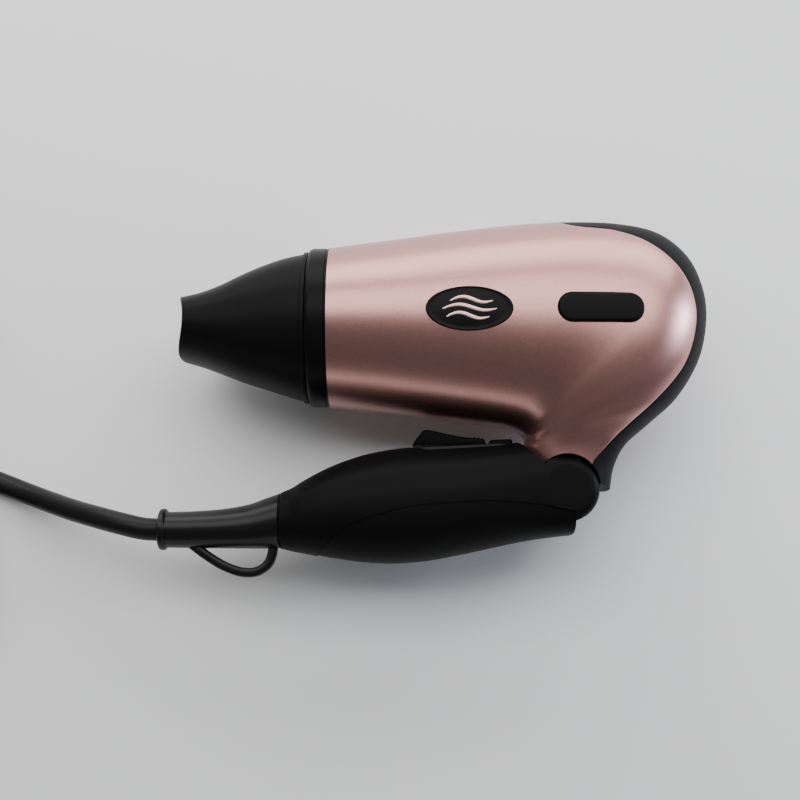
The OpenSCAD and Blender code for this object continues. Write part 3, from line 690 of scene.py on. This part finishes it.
def make_cord():
    """The mains cord, its middle line in metres and its length."""
    first, last, step = COIL_ANGLES
    route = CORD + [coil_point(a) for a in range(first, last + 1, step)] + TAIL
    path = [(p[0], p[1], p[2] + FLOOR_Z) for p in smooth_path(route, 5 * len(route))]
    cord = loft("mains_cord", tube_rings(path, CORD_D / 2, 20), 50)
    piece(cord, "handle", "cord_rubber", ("power_cord", "cord_coil", "cord_tail"))
    line = [to_row(p) for p in path]
    length = sum((Vector(b) - Vector(a)).length for a, b in zip(line[:-1], line[1:]))
    return cord, line, length


def make_strap():
    """A flat strap round one side of the coil."""
    thick, corner_r, half_wide, edge = 1.0, 2.2, 4, 0.25
    inner = COIL_INNER_R - CORD_D / 2 - thick
    outer = COIL_OUTER_R + CORD_D / 2 + thick
    top = 2 * CORD_D + thick
    corners = ((outer - corner_r, top - corner_r, 0), (inner + corner_r, top - corner_r, 90),
               (inner + corner_r, corner_r, 180), (outer - corner_r, corner_r, 270))
    path = [(x, z, math.radians(start + 15 * k)) for x, z, start in corners for k in range(7)]
    # Across the strap and down into it, once round its section
    section = ((-half_wide, edge), (edge - half_wide, 0), (half_wide - edge, 0), (half_wide, edge),
               (half_wide, thick - edge), (half_wide - edge, thick), (edge - half_wide, thick),
               (-half_wide, thick - edge))
    turn = math.radians(200)
    rings = []
    for across, depth in section:
        ring = []
        for x, z, a in path:
            out = x + math.cos(a) * (corner_r - depth)
            ring.append((COIL_AT[0] + out * math.cos(turn) - across * math.sin(turn),
                         COIL_AT[1] + out * math.sin(turn) + across * math.cos(turn),
                         FLOOR_Z + z + math.sin(a) * (corner_r - depth)))
        rings.append(ring)
    return piece(closed_loft("cord_strap", rings, 40), "handle", "cord_rubber", ("cord_tie",))


def plug_ring(y, half_x, half_z, squareness, x_off=0.0, sides=72):
    """A section across the plug, y from where the cord enters it."""
    exponent = 2 / squareness
    return [(PLUG_AT[0] + x_off + half_x * power(math.cos(t), exponent), PLUG_AT[1] + y,
             PLUG_AT[2] + FLOOR_Z + half_z * power(math.sin(t), exponent)) for t in angles(sides)]


def plug_blade(name, x_off):
    levels = ((33, 0.75, 3.2), (49.4, 0.75, 3.2), (50.4, 0.62, 2.9), (51, 0.4, 2.2))
    blade = loft(name, [plug_ring(y, w, h, 2 / 0.35, x_off, 40) for y, w, h in levels], 30)
    return piece(blade, "handle", "brass_blades", ("plug_blades",))


def make_plug():
    """A two-blade moulded plug: a finger-grip body on a ribbed neck."""
    rows = [(0, 4.2, 4.2, 2)]
    for k in range(4):
        y = 0.6 + 2.4 * k
        groove = 4.4 + 0.25 * k
        rib = 5 + 0.25 * k
        rows += [(y, groove, groove, 2), (y + 0.3, rib, rib, 2),
                 (y + 1.2, rib, rib, 2), (y + 1.5, groove, groove, 2)]
    rows += [(10.3, 5.6, 5.4, 2.1), (12, 7.6, 6, 2.4), (14, 10, 6.6, 3), (16.5, 11.6, 6.9, 3.6),
             (20, 12, 7, 4), (26, 11.7, 6.9, 4.2), (31, 11.9, 7, 4.4), (33.2, 11.9, 7, 4.6),
             (33.8, 11.6, 6.7, 4.6), (34, 11.1, 6.3, 4.6)]
    body = loft("mains_plug", [plug_ring(*row) for row in rows], 32)
    piece(body, "handle", "plug_black", ("plug_body",))
    return [body, plug_blade("plug_blade_1", -6.35), plug_blade("plug_blade_2", 6.35)]


# ------------------------------------------------------------------ housing
COVER_SINK = 0.09
COVER_SEAM = 0.14
SHELL_SEAM = 0.09
HOUSING_WALL = 2.0
SEAM_OPENS_OVER = 0.55
NARROWEST_SEAM = 0.06

# Air inlet: slots across the spine, counted each way from the middle one
SLOT_LENGTH = 20
SLOT_HIGH = 1.2
SLOT_PITCH = 2.3
SLOT_MIDDLE_Y = 29.6
SLOTS_EACH_WAY = 4


def body_point(s, angle, inset=0.0):
    """A point of the housing: s along its rows, the angle from its outer edge round the left side."""
    row = spline(BODY, s)
    inner_edge, outer_edge = np.array(row[0:2]), np.array(row[2:4])
    span = np.linalg.norm(outer_edge - inner_edge)
    middle = (inner_edge + outer_edge) / 2
    across = (outer_edge - inner_edge) / span
    half = span / 2 - inset
    exponent = 2 / row[5]
    out = power(math.cos(angle), exponent)
    return (middle[0] + across[0] * half * out, middle[1] + across[1] * half * out,
            (row[4] - inset) * power(math.sin(angle), exponent))


def seam_angle(s):
    """Where the dark cover meets the painted shell."""
    if s <= COVER_START:
        return 0.0
    row = spline(BODY, s)
    opening = min(1, (s - COVER_START) / SEAM_OPENS_OVER)
    half = min(row[6] * math.sqrt(opening * (2 - opening)), row[4] * 0.98)
    return math.asin((half / row[4]) ** (row[5] / 2))


def body_stations():
    """Closer together where the cover's seam opens."""
    blend_over = 0.6
    front = list(np.linspace(0, COVER_START, 44))
    blend = [COVER_START + blend_over * u * u for u in np.linspace(0, 1, 14)[1:]]
    rest = list(np.linspace(COVER_START + blend_over, len(BODY) - 1, 120)[1:])
    return front + blend + rest


def wall_section(s, start, end, columns, gap, radius, wall=HOUSING_WALL, sink=0.0):
    """A wall's closed section at station s, between two angles, with rounded outer edges."""
    size = spline(BODY, s)[4]
    low = start + gap / size
    high = end - gap / size
    turn = radius / size
    edge = [(turn * (1 - math.sqrt(1 - u * u)), sink + radius * (1 - u) ** 1.6) for u in (0.3, 0.62, 1.0)]
    section = [body_point(s, low, wall), body_point(s, low, sink + radius)]
    section += [body_point(s, low + angle, depth) for angle, depth in edge]
    section += [body_point(s, low + turn + (high - low - 2 * turn) * i / columns, sink)
                for i in range(1, columns)]
    section += [body_point(s, high - angle, depth) for angle, depth in reversed(edge)]
    section += [body_point(s, high, sink + radius), body_point(s, high, wall)]
    section += [body_point(s, high + (low - high) * i / 12, wall) for i in range(1, 12)]
    return section


def cover_section(s, wall=HOUSING_WALL):
    angle = seam_angle(s)
    return wall_section(s, -angle, angle, 28, COVER_SEAM, 0.35, wall, COVER_SINK)


def neck_cutters():
    """Room for the knuckle, for the handle's shoulder and for its end face as it swings."""
    knuckle = cutter(circle(KNUCKLE_R + NECK_GAP, PIVOT, 144))
    shoulder = cutter(turned(rectangle(0, -NECK_GAP, 26, 14), SHOULDER_DEG, PIVOT))
    swing = cutter(turned(rectangle(-30, -40, FACE_OFF + NECK_GAP, 0), FOLD_DEG, PIVOT))
    return [knuckle, shoulder, swing]


def make_shells():
    """The two painted shells. Returns the left one."""
    sections = [wall_section(s, seam_angle(s), math.pi, 56, SHELL_SEAM, 0.3) for s in body_stations()]
    left = loft("painted_shell_left", sections, 40)
    boolean(left, neck_cutters())
    pad_gap = 0.5
    boolean(left, [cutter(pill(PAD_SIZE[0] + pad_gap, PAD_SIZE[1] + pad_gap, PAD_AT, 28), 20, 40)])
    shade(left, 32)
    right = mirrored(left, "painted_shell_right")
    cut_recesses(right, BARREL_SCREWS, BARREL_SCREW_Z)
    shade(right, 32)
    piece(left, "barrel", "pink_paint", ("housing_shell_left",))
    piece(right, "barrel", "pink_paint", ("housing_shell_right",))
    return left


def make_cover():
    """The dark spine, closed at the neck and slotted at the back."""
    sections = [cover_section(s) for s in body_stations() if seam_angle(s) >= NARROWEST_SEAM]
    cover = loft("rear_spine", sections, 40)
    last = len(BODY) - 1
    tip = loft("tip", [cover_section(last - back, 6.0) for back in (0.25, 0.15, 0.05, 0)], 40)
    boolean(cover, [tip], "UNION")
    boolean(cover, neck_cutters())
    outline = pill(SLOT_LENGTH, SLOT_HIGH, (0, 0), 8)
    for i in range(-SLOTS_EACH_WAY, SLOTS_EACH_WAY + 1):
        y = SLOT_MIDDLE_Y + SLOT_PITCH * i
        boolean(cover, [loft("slot", [[(x, y + v, u) for u, v in outline] for x in (80, 110)])])
    shade(cover, 32)
    piece(cover, "barrel", "cover_black", ("rear_inlet_cover",))


def make_pads():
    def outline(inset):
        return pill(PAD_SIZE[0] - 2 * inset, PAD_SIZE[1] - 2 * inset, PAD_AT, 28)
    levels = [(0, 25.4)] + round_over(0.9, 28.86, 6) + [(1.6, 28.93), (2.6, 28.98), (3.6, 29.0)]
    left = stack("rest_pad_left", outline, levels, 50)
    right = mirrored(left, "rest_pad_right")
    piece(left, "barrel", "pad_black", ("side_pad_left",))
    piece(right, "barrel", "pad_black", ("side_pad_right",))


def surface_finder(obj):
    """A function that gives obj's height over a place in the design's frame."""
    bm = bmesh.new()
    bm.from_mesh(obj.data)
    tree = BVHTree.FromBMesh(bm)
    bm.free()

    def height(x, y):
        origin = Vector(to_row((x, y, CUT_REACH)))
        hit = tree.ray_cast(origin, Vector((0, 0, -1)))[0]
        return hit.z / MM - SHIFT.z
    return height


def badge_plate(height):
    """An oval plate with a raised rim, which follows the shell."""
    # share of the plate's size, height above the shell
    steps = [(1.0, -0.5), (1.0, 0.12), (0.994, 0.3), (0.982, 0.42), (0.965, 0.46), (0.945, 0.46),
             (0.93, 0.36), (0.915, 0.3), (0.8, 0.3), (0.6, 0.3), (0.4, 0.3), (0.2, 0.3), (0.02, 0.3)]
    rings = []
    for share, lift in steps:
        places = [(BADGE_AT[0] + BADGE_SIZE[0] / 2 * share * math.cos(t),
                   BADGE_AT[1] + BADGE_SIZE[1] / 2 * share * math.sin(t)) for t in angles(96)]
        rings.append([(x, y, height(x, y) + lift) for x, y in places])
    return loft("badge_plate_left", rings, 50)


def badge_wave(name, height, up, x0, x1):
    """One wavy line of moving air, raised from the plate, with pointed ends."""
    swing = 0.95
    section = ((-1, -0.1), (-1, 0.12), (-0.7, 0.2), (0.7, 0.2), (1, 0.12), (1, -0.1))
    rows = []
    for i in range(41):
        u = i / 40
        phase = 2 * math.pi * (u - 0.05)
        x = BADGE_AT[0] + x0 + (x1 - x0) * u
        y = BADGE_AT[1] + up + swing * math.sin(phase)
        slope = math.atan2(swing * 2 * math.pi * math.cos(phase), x1 - x0)
        wide = 0.62 * math.sin(math.pi * (0.02 + 0.96 * u)) ** 0.5
        z = height(x, y) + 0.3
        rows.append([(x - math.sin(slope) * wide * across, y + math.cos(slope) * wide * across, z + lift)
                     for across, lift in section])
    return loft(name, rows, 40)


def make_badges(shell):
    height = surface_finder(shell)
    plate = badge_plate(height)
    # height above the middle, first and last x
    waves = ((2.6, -6.2, 7.4), (0, -8.6, 8.6), (-2.6, -7.4, 6.2))
    left = [badge_wave("badge_wave_left_%d" % (k + 1), height, *wave) for k, wave in enumerate(waves)]
    right = [mirrored(wave, wave.name.replace("left", "right")) for wave in left]
    for wave in left + right:
        piece(wave, "barrel", "badge_black", (), EMBLEM)
    other_plate = mirrored(plate, "badge_plate_right")
    piece(plate, "barrel", "badge_black", ("badge_left",))
    piece(other_plate, "barrel", "badge_black", ("badge_right",))


def make_ring():
    """The heat-proof ring, with a rounded front and a groove near the shells."""
    outer = 27.2
    profile = [
        (24.1, RING_X), (25.7, RING_X), (26.2, RING_X + 0.1), (26.7, RING_X + 0.4),
        (27.0, RING_X + 0.9), (outer, RING_X + 1.6), (outer, FRONT_X - 1.3),
        (outer - 0.08, FRONT_X - 1.05), (outer - 0.5, FRONT_X - 0.95), (outer - 0.5, FRONT_X - 0.7),
        (outer - 0.08, FRONT_X - 0.6), (outer, FRONT_X - 0.4), (outer, FRONT_X - 0.05),
        (25.1, FRONT_X - 0.05), (25.1, FRONT_X + 5), (23.4, FRONT_X + 5), (23.4, FRONT_X - 0.6),
        (24.1, FRONT_X - 0.6),
    ]
    piece(lathe("heat_ring", profile, 180), "barrel", "ring_black", ("outlet_ring",))


# ------------------------------------------------------------------ nozzle
NOZZLE_SIDES = 120


def nozzle_ring(s, inset):
    share, middle_y, half_y, half_z, squareness = spline(NOZZLE, s)
    x = TIP_X + (RING_X - TIP_X) * share
    return upright_oval(x, middle_y, half_y - inset, half_z - inset, squareness, NOZZLE_SIDES)


def bent_back(point):
    """The mouth's lips curve back towards both sides."""
    lip_r, reach = 52, 18
    share = max(0, 1 - (point[0] - TIP_X) / reach)
    back = lip_r - math.sqrt(lip_r * lip_r - point[2] * point[2])
    return (point[0] + back * share, point[1], point[2])


def make_nozzle():
    """One wall: outside from mouth to collar, round the spigot in the ring, and back inside."""
    last = len(NOZZLE) - 1
    wall = 1.6
    rings = [nozzle_ring(0, 0.7), nozzle_ring(0, 0.35), nozzle_ring(0.02, 0.1), nozzle_ring(0.06, 0)]
    rings += [nozzle_ring(last * i / 64, 0) for i in range(2, 65)]
    collar_x = RING_X - 0.04 * (RING_X - TIP_X)
    collar = ((collar_x + 0.03, 25.6), (collar_x + 0.12, 25.85), (collar_x + 0.4, 26),
              (RING_X - 0.35, 26), (RING_X - 0.15, 25.85), (RING_X - 0.1, 25.5), (RING_X - 0.1, 24),
              (RING_X + 4.6, 24), (RING_X + 5, 23.6), (RING_X + 5, 22.6), (RING_X, 22.5))
    rings += [upright_oval(x, AXIS_Y, r, r, 2, NOZZLE_SIDES) for x, r in collar]
    rings += [nozzle_ring(last * i / 24, wall) for i in range(23, 0, -1)]
    rings += [nozzle_ring(0.02, 1.5), nozzle_ring(0, 1.25), nozzle_ring(0, 0.95)]
    nozzle = closed_loft("air_nozzle", [[bent_back(p) for p in ring] for ring in rings], 35)
    piece(nozzle, "nozzle", "nozzle_black", ("concentrator_nozzle",))


# ------------------------------------------------------------------ handle
HANDLE_WALL = 2.0
HUB_SLOT_HALF = 7.35


def handle_loft(name, inset, rows=72, sides=144):
    """The handle's whole form less an inset, with a rounded edge at the boot's end."""
    last = len(HANDLE) - 1
    end = [(x + 0.1, y, z) for x, y, z in oval_of_row(HANDLE[0], inset + 0.12, sides)]
    rings = [oval_of_row(HANDLE[0], inset + 0.3, sides), end]
    rings += [oval_of_row(spline(HANDLE, last * i / rows), inset, sides) for i in range(1, rows + 1)]
    return loft(name, rings, 35)


def knuckle_solid():
    """The round boss at the hinge, with rounded rims."""
    flat_r = KNUCKLE_R - KNUCKLE_EDGE
    flat_z = KNUCKLE_HALF - KNUCKLE_EDGE
    bends = [math.radians(a) for a in range(0, 91, 9)]
    levels = [(flat_r + KNUCKLE_EDGE * math.sin(a), -flat_z - KNUCKLE_EDGE * math.cos(a)) for a in bends]
    levels += [(flat_r + KNUCKLE_EDGE * math.cos(a), flat_z + KNUCKLE_EDGE * math.sin(a)) for a in bends]
    return stack("knuckle", lambda r: circle(r, PIVOT, 120), levels, 35)


def neck_space():
    """The space that the handle leaves for the neck, outside the knuckle."""
    r = KNUCKLE_R - 0.05
    reach = 70
    arc = circle(r, (0, 0), 96, SHOULDER_DEG, SHOULDER_DEG - 180)
    arc = [p for p in arc if not (p[0] < FACE_OFF and p[1] < 0)]
    slope = math.radians(SHOULDER_DEG)
    down = -math.sqrt(r * r - FACE_OFF * FACE_OFF)
    outline = [(reach * math.cos(slope), reach * math.sin(slope))] + arc
    outline += [(FACE_OFF, down), (FACE_OFF, -60), (60, -60), (60, 60)]
    return cutter([(PIVOT[0] + x, PIVOT[1] + y) for x, y in outline])


def grip_space(shift=0.0):
    """Everything on the back grip's side of the groove line."""
    edge = [(x, y + shift) for x, y in smooth_path(GROOVE, 90)]
    return cutter(edge + [(50, -70), (-40, -70)])


def hinge_pocket():
    """Room for the hub between the handle's cheeks, with the bushes' seats in them."""
    steps = ((4.05, -12.5), (4.05, -HUB_SLOT_HALF), (9.8, -HUB_SLOT_HALF),
             (9.8, HUB_SLOT_HALF), (4.05, HUB_SLOT_HALF), (4.05, 12.5))
    return stack("pocket", lambda r: circle(r, PIVOT, 72), steps, 35)


def web_slots():
    """Room for the hub's web all the way through its swing."""
    return [prism("web_slot", turned(rectangle(0, 0, 30, 30), turn, PIVOT), -HUB_SLOT_HALF, HUB_SLOT_HALF)
            for turn in (SHOULDER_DEG - 90, SHOULDER_DEG - 180)]


def handle_hollow():
    hollow = handle_loft("hollow", HANDLE_WALL, 40, 72)
    boolean(hollow, [cutter(circle(KNUCKLE_R + 2.5, PIVOT, 72)),
                     cutter(turned(rectangle(0, -30, 60, 2), SHOULDER_DEG, PIVOT))])
    inside = cutter(rectangle(-48, -90, PIVOT[0] + FACE_OFF - 2, 90))
    return boolean(hollow, [inside], "INTERSECT")


def make_back_grip(hollow):
    grip = handle_loft("rear_grip_shell", 0.3)
    boolean(grip, [neck_space(), hollow])
    boolean(grip, [grip_space(-0.12)], "INTERSECT")
    boolean(grip, [hinge_pocket()])
    outwards(grip)
    shade(grip, 30)
    piece(grip, "handle", "grip_black", ("rear_grip",))


def knuckle_past_grip():
    """The knuckle, cut away where the back grip runs on under it."""
    end_x = PIVOT[0] + FACE_OFF
    below = boolean(grip_space(), [prism("end", rectangle(end_x, -90, 90, 90), -70, 70)])
    return boolean(knuckle_solid(), [below])


def switch_seat():
    outline = pill(38.3, 17.3, (5, 0), 24)
    return loft("seat", [[at_switch(u, v, w) for u, w in outline] for v in (-2.6, 3)])


def handle_form(hollow):
    """Both handle shells in one, with the knuckle, the hinge's room and the switch's seat."""
    form = handle_loft("handle_form", 0)
    boolean(form, [neck_space()])
    boolean(form, [hollow], keep=True)
    boolean(form, [grip_space()])
    boolean(form, [knuckle_past_grip()], "UNION")
    return boolean(form, [hinge_pocket()] + web_slots() + [switch_seat()])


def make_handle():
    hollow = handle_hollow()
    right = handle_form(hollow)
    right.name = "handle_right"
    make_back_grip(hollow)
    left = bpy.data.objects.new("handle_left", right.data.copy())
    bpy.context.scene.collection.objects.link(left)
    everywhere = rectangle(-120, -120, 120, 120)
    split_gap = 0.05
    boolean(left, [cutter(everywhere, split_gap)], "INTERSECT")
    boolean(right, [cutter(everywhere, -CUT_REACH, -split_gap)], "INTERSECT")
    cut_recesses(right, HANDLE_SCREWS, HANDLE_SCREW_Z)
    for obj in (left, right):
        outwards(obj)
        shade(obj, 30)
    piece(left, "handle", "handle_black", ("handle_shell_left",))
    piece(right, "handle", "handle_black", ("handle_shell_right",))


# ------------------------------------------------------------------ switch
def at_switch(u, v, w):
    """A point of the switch's frame: u along the handle, v out of it, w across it."""
    c, s = math.cos(math.radians(SWITCH_TILT)), math.sin(math.radians(SWITCH_TILT))
    return (SWITCH_AT[0] + u * c - v * s, SWITCH_AT[1] + u * s + v * c, w)


def make_slider():
    """A steep front up to a ridge, a long slope back, and grip ribs at its end."""
    top = [(-12, 1.15), (-11.4, 2.1), (-10.2, 3.7), (-9.1, 5.0), (-8.4, 5.7), (-7.6, 6.0), (-6.9, 6.0),
           (-5.8, 5.75), (-3.6, 5.2), (-0.6, 4.35), (2.4, 3.55), (5.4, 2.95), (7.6, 2.6)]
    for k in range(3):
        u = 8.2 + 1.25 * k
        base = 2.5 - 0.22 * k
        top += [(u, base), (u + 0.3, base + 0.28), (u + 0.7, base + 0.28), (u + 1.0, base - 0.1)]
    top += [(12.0, 1.7), (12.2, 1.3)]
    # distance from the middle, and how far the top is rounded down there
    edge = [(6.5, 0.7), (6.35, 0.3), (6.0, 0.08), (5.4, 0), (3, 0)]
    columns = [(-w, drop) for w, drop in edge] + [(0, 0)] + edge[::-1]
    rings = []
    for w, drop in columns:
        front_low = 1.15 if drop < 0.65 else 0.9
        ring = [at_switch(u, max(0.9, v - drop), w) for u, v in top]
        ring += [at_switch(12.2, 0.32, w), at_switch(-1.8, 0.32, w), at_switch(-2, front_low, w)]
        rings.append(ring)
    piece(loft("slide_switch", rings, 30), "switch", "switch_black", ("switch_slider",))


def make_button():
    """A low square button with soft corners."""
    middle_u, half, exponent = 17.65, 4, 0.32
    rings = []
    for inset, v in ((0.1, -1.7), (0.1, 1.3), (0.25, 1.65), (0.6, 1.84), (1.1, 1.9)):
        size = half - inset
        rings.append([at_switch(middle_u + size * power(math.cos(t), exponent), v,
                                size * power(math.sin(t), exponent)) for t in angles(64)])
    piece(loft("cool_button", rings, 40), "button", "switch_black", ("cool_shot_button",))


def make_bezel():
    """The plate round the switch and the button, with an opening for each."""
    length, wide, middle_u = 38, 17, 5
    outline = pill(length, wide, (middle_u, 0), 28)
    rings = []
    for inset, v in ((0, -2.3), (0, -0.35), (0.12, -0.12), (0.4, 0)):
        rings.append([at_switch(middle_u + (u - middle_u) * (1 - inset / (length / 2)), v,
                                w * (1 - inset / (wide / 2))) for u, w in outline])
    bezel = loft("switch_frame", rings, 40)
    for u0, u1, half in ((-10.6, 2.8, 2.4), (13.3, 21.95, 4.3)):
        opening = rectangle(u0, -half, u1, half)
        boolean(bezel, [loft("opening", [[at_switch(u, v, w) for u, w in opening] for v in (-6, 6)])])
    shade(bezel, 35)
    piece(bezel, "handle", "bezel_black", ("switch_bezel",))


# ------------------------------------------------------------------ boot
def hang_loop():
    """A flat loop that leaves the boot's underside and comes back to it."""
    exponent = 0.62
    half_thick, half_wide = 1.6, 2.0
    steps = 48
    path = smooth_path(LOOP, steps)
    rings = []
    for i, p in enumerate(path):
        along = np.array(path[min(i + 1, steps)]) - np.array(path[max(i - 1, 0)])
        along /= np.linalg.norm(along)
        rings.append([(p[0] - along[1] * half_thick * power(math.cos(t), exponent),
                       p[1] + along[0] * half_thick * power(math.cos(t), exponent),
                       half_wide * power(math.sin(t), exponent)) for t in angles(32)])
    return loft("loop", rings)


def make_boot():
    """The cord's sleeve, from the handle's end to a collar where the cord leaves it."""
    sides = 96
    last = len(BOOT) - 1
    sleeve = [oval_of_row(spline(BOOT, last * i / 48), 0, sides) for i in range(49)]
    collar = ((-87.6, 6.05), (-87.75, 6.4), (-88.05, 6.75), (-88.5, 6.9), (-89.2, 6.9), (-89.6, 6.8),
              (-89.85, 6.5), (-90, 6.1), (-90, 3.9), (-89.6, 3.75))
    sleeve += [upright_oval(x, BOOT_Y, r, r, 2, sides) for x, r in collar]
    middle_y = (BOOT[0][1] + BOOT[0][2]) / 2
    # The end at the handle is drawn in: distance back and share of its size
    drawn_in = [[(x - back, middle_y + (y - middle_y) * share, z * share) for x, y, z in sleeve[0]]
                for back, share in ((0.06, 0.95), (0.1, 0.985), (0.28, 1.0))]
    boot = loft("cord_sleeve", drawn_in + sleeve[1:], 35)
    boolean(boot, [hang_loop()], "UNION")
    shade(boot, 32)
    piece(boot, "handle", "boot_rubber", ("cord_boot",))


# ------------------------------------------------------------------ screws
def screw_head(name, place, body, z):
    """A cross-head screw at the bottom of its recess."""
    levels = [(2.45, z), (2.45, z - 1.4), (2.2, z - 1.75), (1.65, z - 1.98), (1.05, z - 2.05)]
    head = stack(name, lambda r: circle(r, place, 40), levels, 40)
    x, y = place
    for half_x, half_y in ((1.5, 0.28), (0.28, 1.5)):
        bar = rectangle(x - half_x, y - half_y, x + half_x, y + half_y)
        boolean(head, [prism("bar", bar, z - 3, z - 1.3)])
    shade(head, 30)
    piece(head, body, "steel")


def make_screws():
    spots = [(place, "barrel", BARREL_SCREW_Z) for place in BARREL_SCREWS]
    spots += [(place, "handle", HANDLE_SCREW_Z) for place in HANDLE_SCREWS]
    for i, spot in enumerate(spots):
        screw_head("screw_head_%d" % (i + 1), *spot)


# ------------------------------------------------------------------ floor and light
AIM = (0, 0.01, 0.03)
# name, place, aim, size, watts, colour
LIGHTS = (
    ("wall_softbox", (0.05, 0.80, 0.34), AIM, (1.9, 0.5), 13, (1, 1, 1)),
    ("top_softbox", (0.0, 0.40, 0.86), (0, 0, 0), (1.8, 0.5), 10, (1, 1, 1)),
    ("side_window", (0.95, 0.16, 0.24), AIM, (0.25, 0.3), 5.0, (0.72, 0.8, 1)),
    ("low_strip", (-0.1, -0.85, 0.14), AIM, (1.6, 0.16), 1.2, (1, 1, 1)),
)


def soft_light(name, at, towards, size, watts, colour):
    data = bpy.data.lights.new(name, "AREA")
    data.shape = "RECTANGLE"
    data.size, data.size_y = size
    data.energy = watts
    data.color = colour
    light = bpy.data.objects.new(name, data)
    bpy.context.scene.collection.objects.link(light)
    light.location = Vector(at)
    light.rotation_mode = "QUATERNION"
    light.rotation_quaternion = (Vector(towards) - Vector(at)).to_track_quat("-Z", "Y")


def make_floor():
    size = 8.0
    mesh = bpy.data.meshes.new("floor")
    mesh.from_pydata([(x, y, 0) for x, y in rectangle(-size, -size, size, size)], [], [(0, 1, 2, 3)])
    floor = bpy.data.objects.new("floor", mesh)
    bpy.context.scene.collection.objects.link(floor)
    material, tree, bsdf = node_tree("floor")
    clouds = noise(tree, object_coordinates(tree), 6, 2)
    tone = two_tone(tree, clouds, (0.96, 0.96, 0.96), (0.98, 0.98, 0.98))
    tree.links.new(tone, bsdf.inputs["Base Color"])
    bsdf.inputs["Roughness"].default_value = 0.75
    floor.data.materials.append(material)
    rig.stage(floor)


def make_world():
    world = bpy.data.worlds.new("studio")
    bpy.context.scene.world = world
    world.use_nodes = True
    background = world.node_tree.nodes["Background"]
    background.inputs["Color"].default_value = (1, 1, 1, 1)
    background.inputs["Strength"].default_value = 0.12


# ------------------------------------------------------------------ all of it
make_camera()
finish_cad_nodes()
cord, cord_line, cord_length = make_cord()
strap = make_strap()
plug = make_plug()
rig.cord(cord, exit=cord_line[0], length=round(cord_length, 2), diameter=CORD_D * MM, far_end="plug",
        stiffness="medium", lay="coiled", path=cord_line, with_pieces=[strap] + plug)
left_shell = make_shells()
make_cover()
make_pads()
make_badges(left_shell)
make_ring()
make_nozzle()
make_handle()
make_slider()
make_button()
make_bezel()
make_boot()
make_screws()
make_floor()
make_world()
for light in LIGHTS:
    soft_light(*light)

seen_low, seen_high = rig.bounds()
with open("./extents.json", "w") as f:
    json.dump({"cad": [list(cad_low), list(cad_high)], "visual": [list(seen_low), list(seen_high)]}, f)
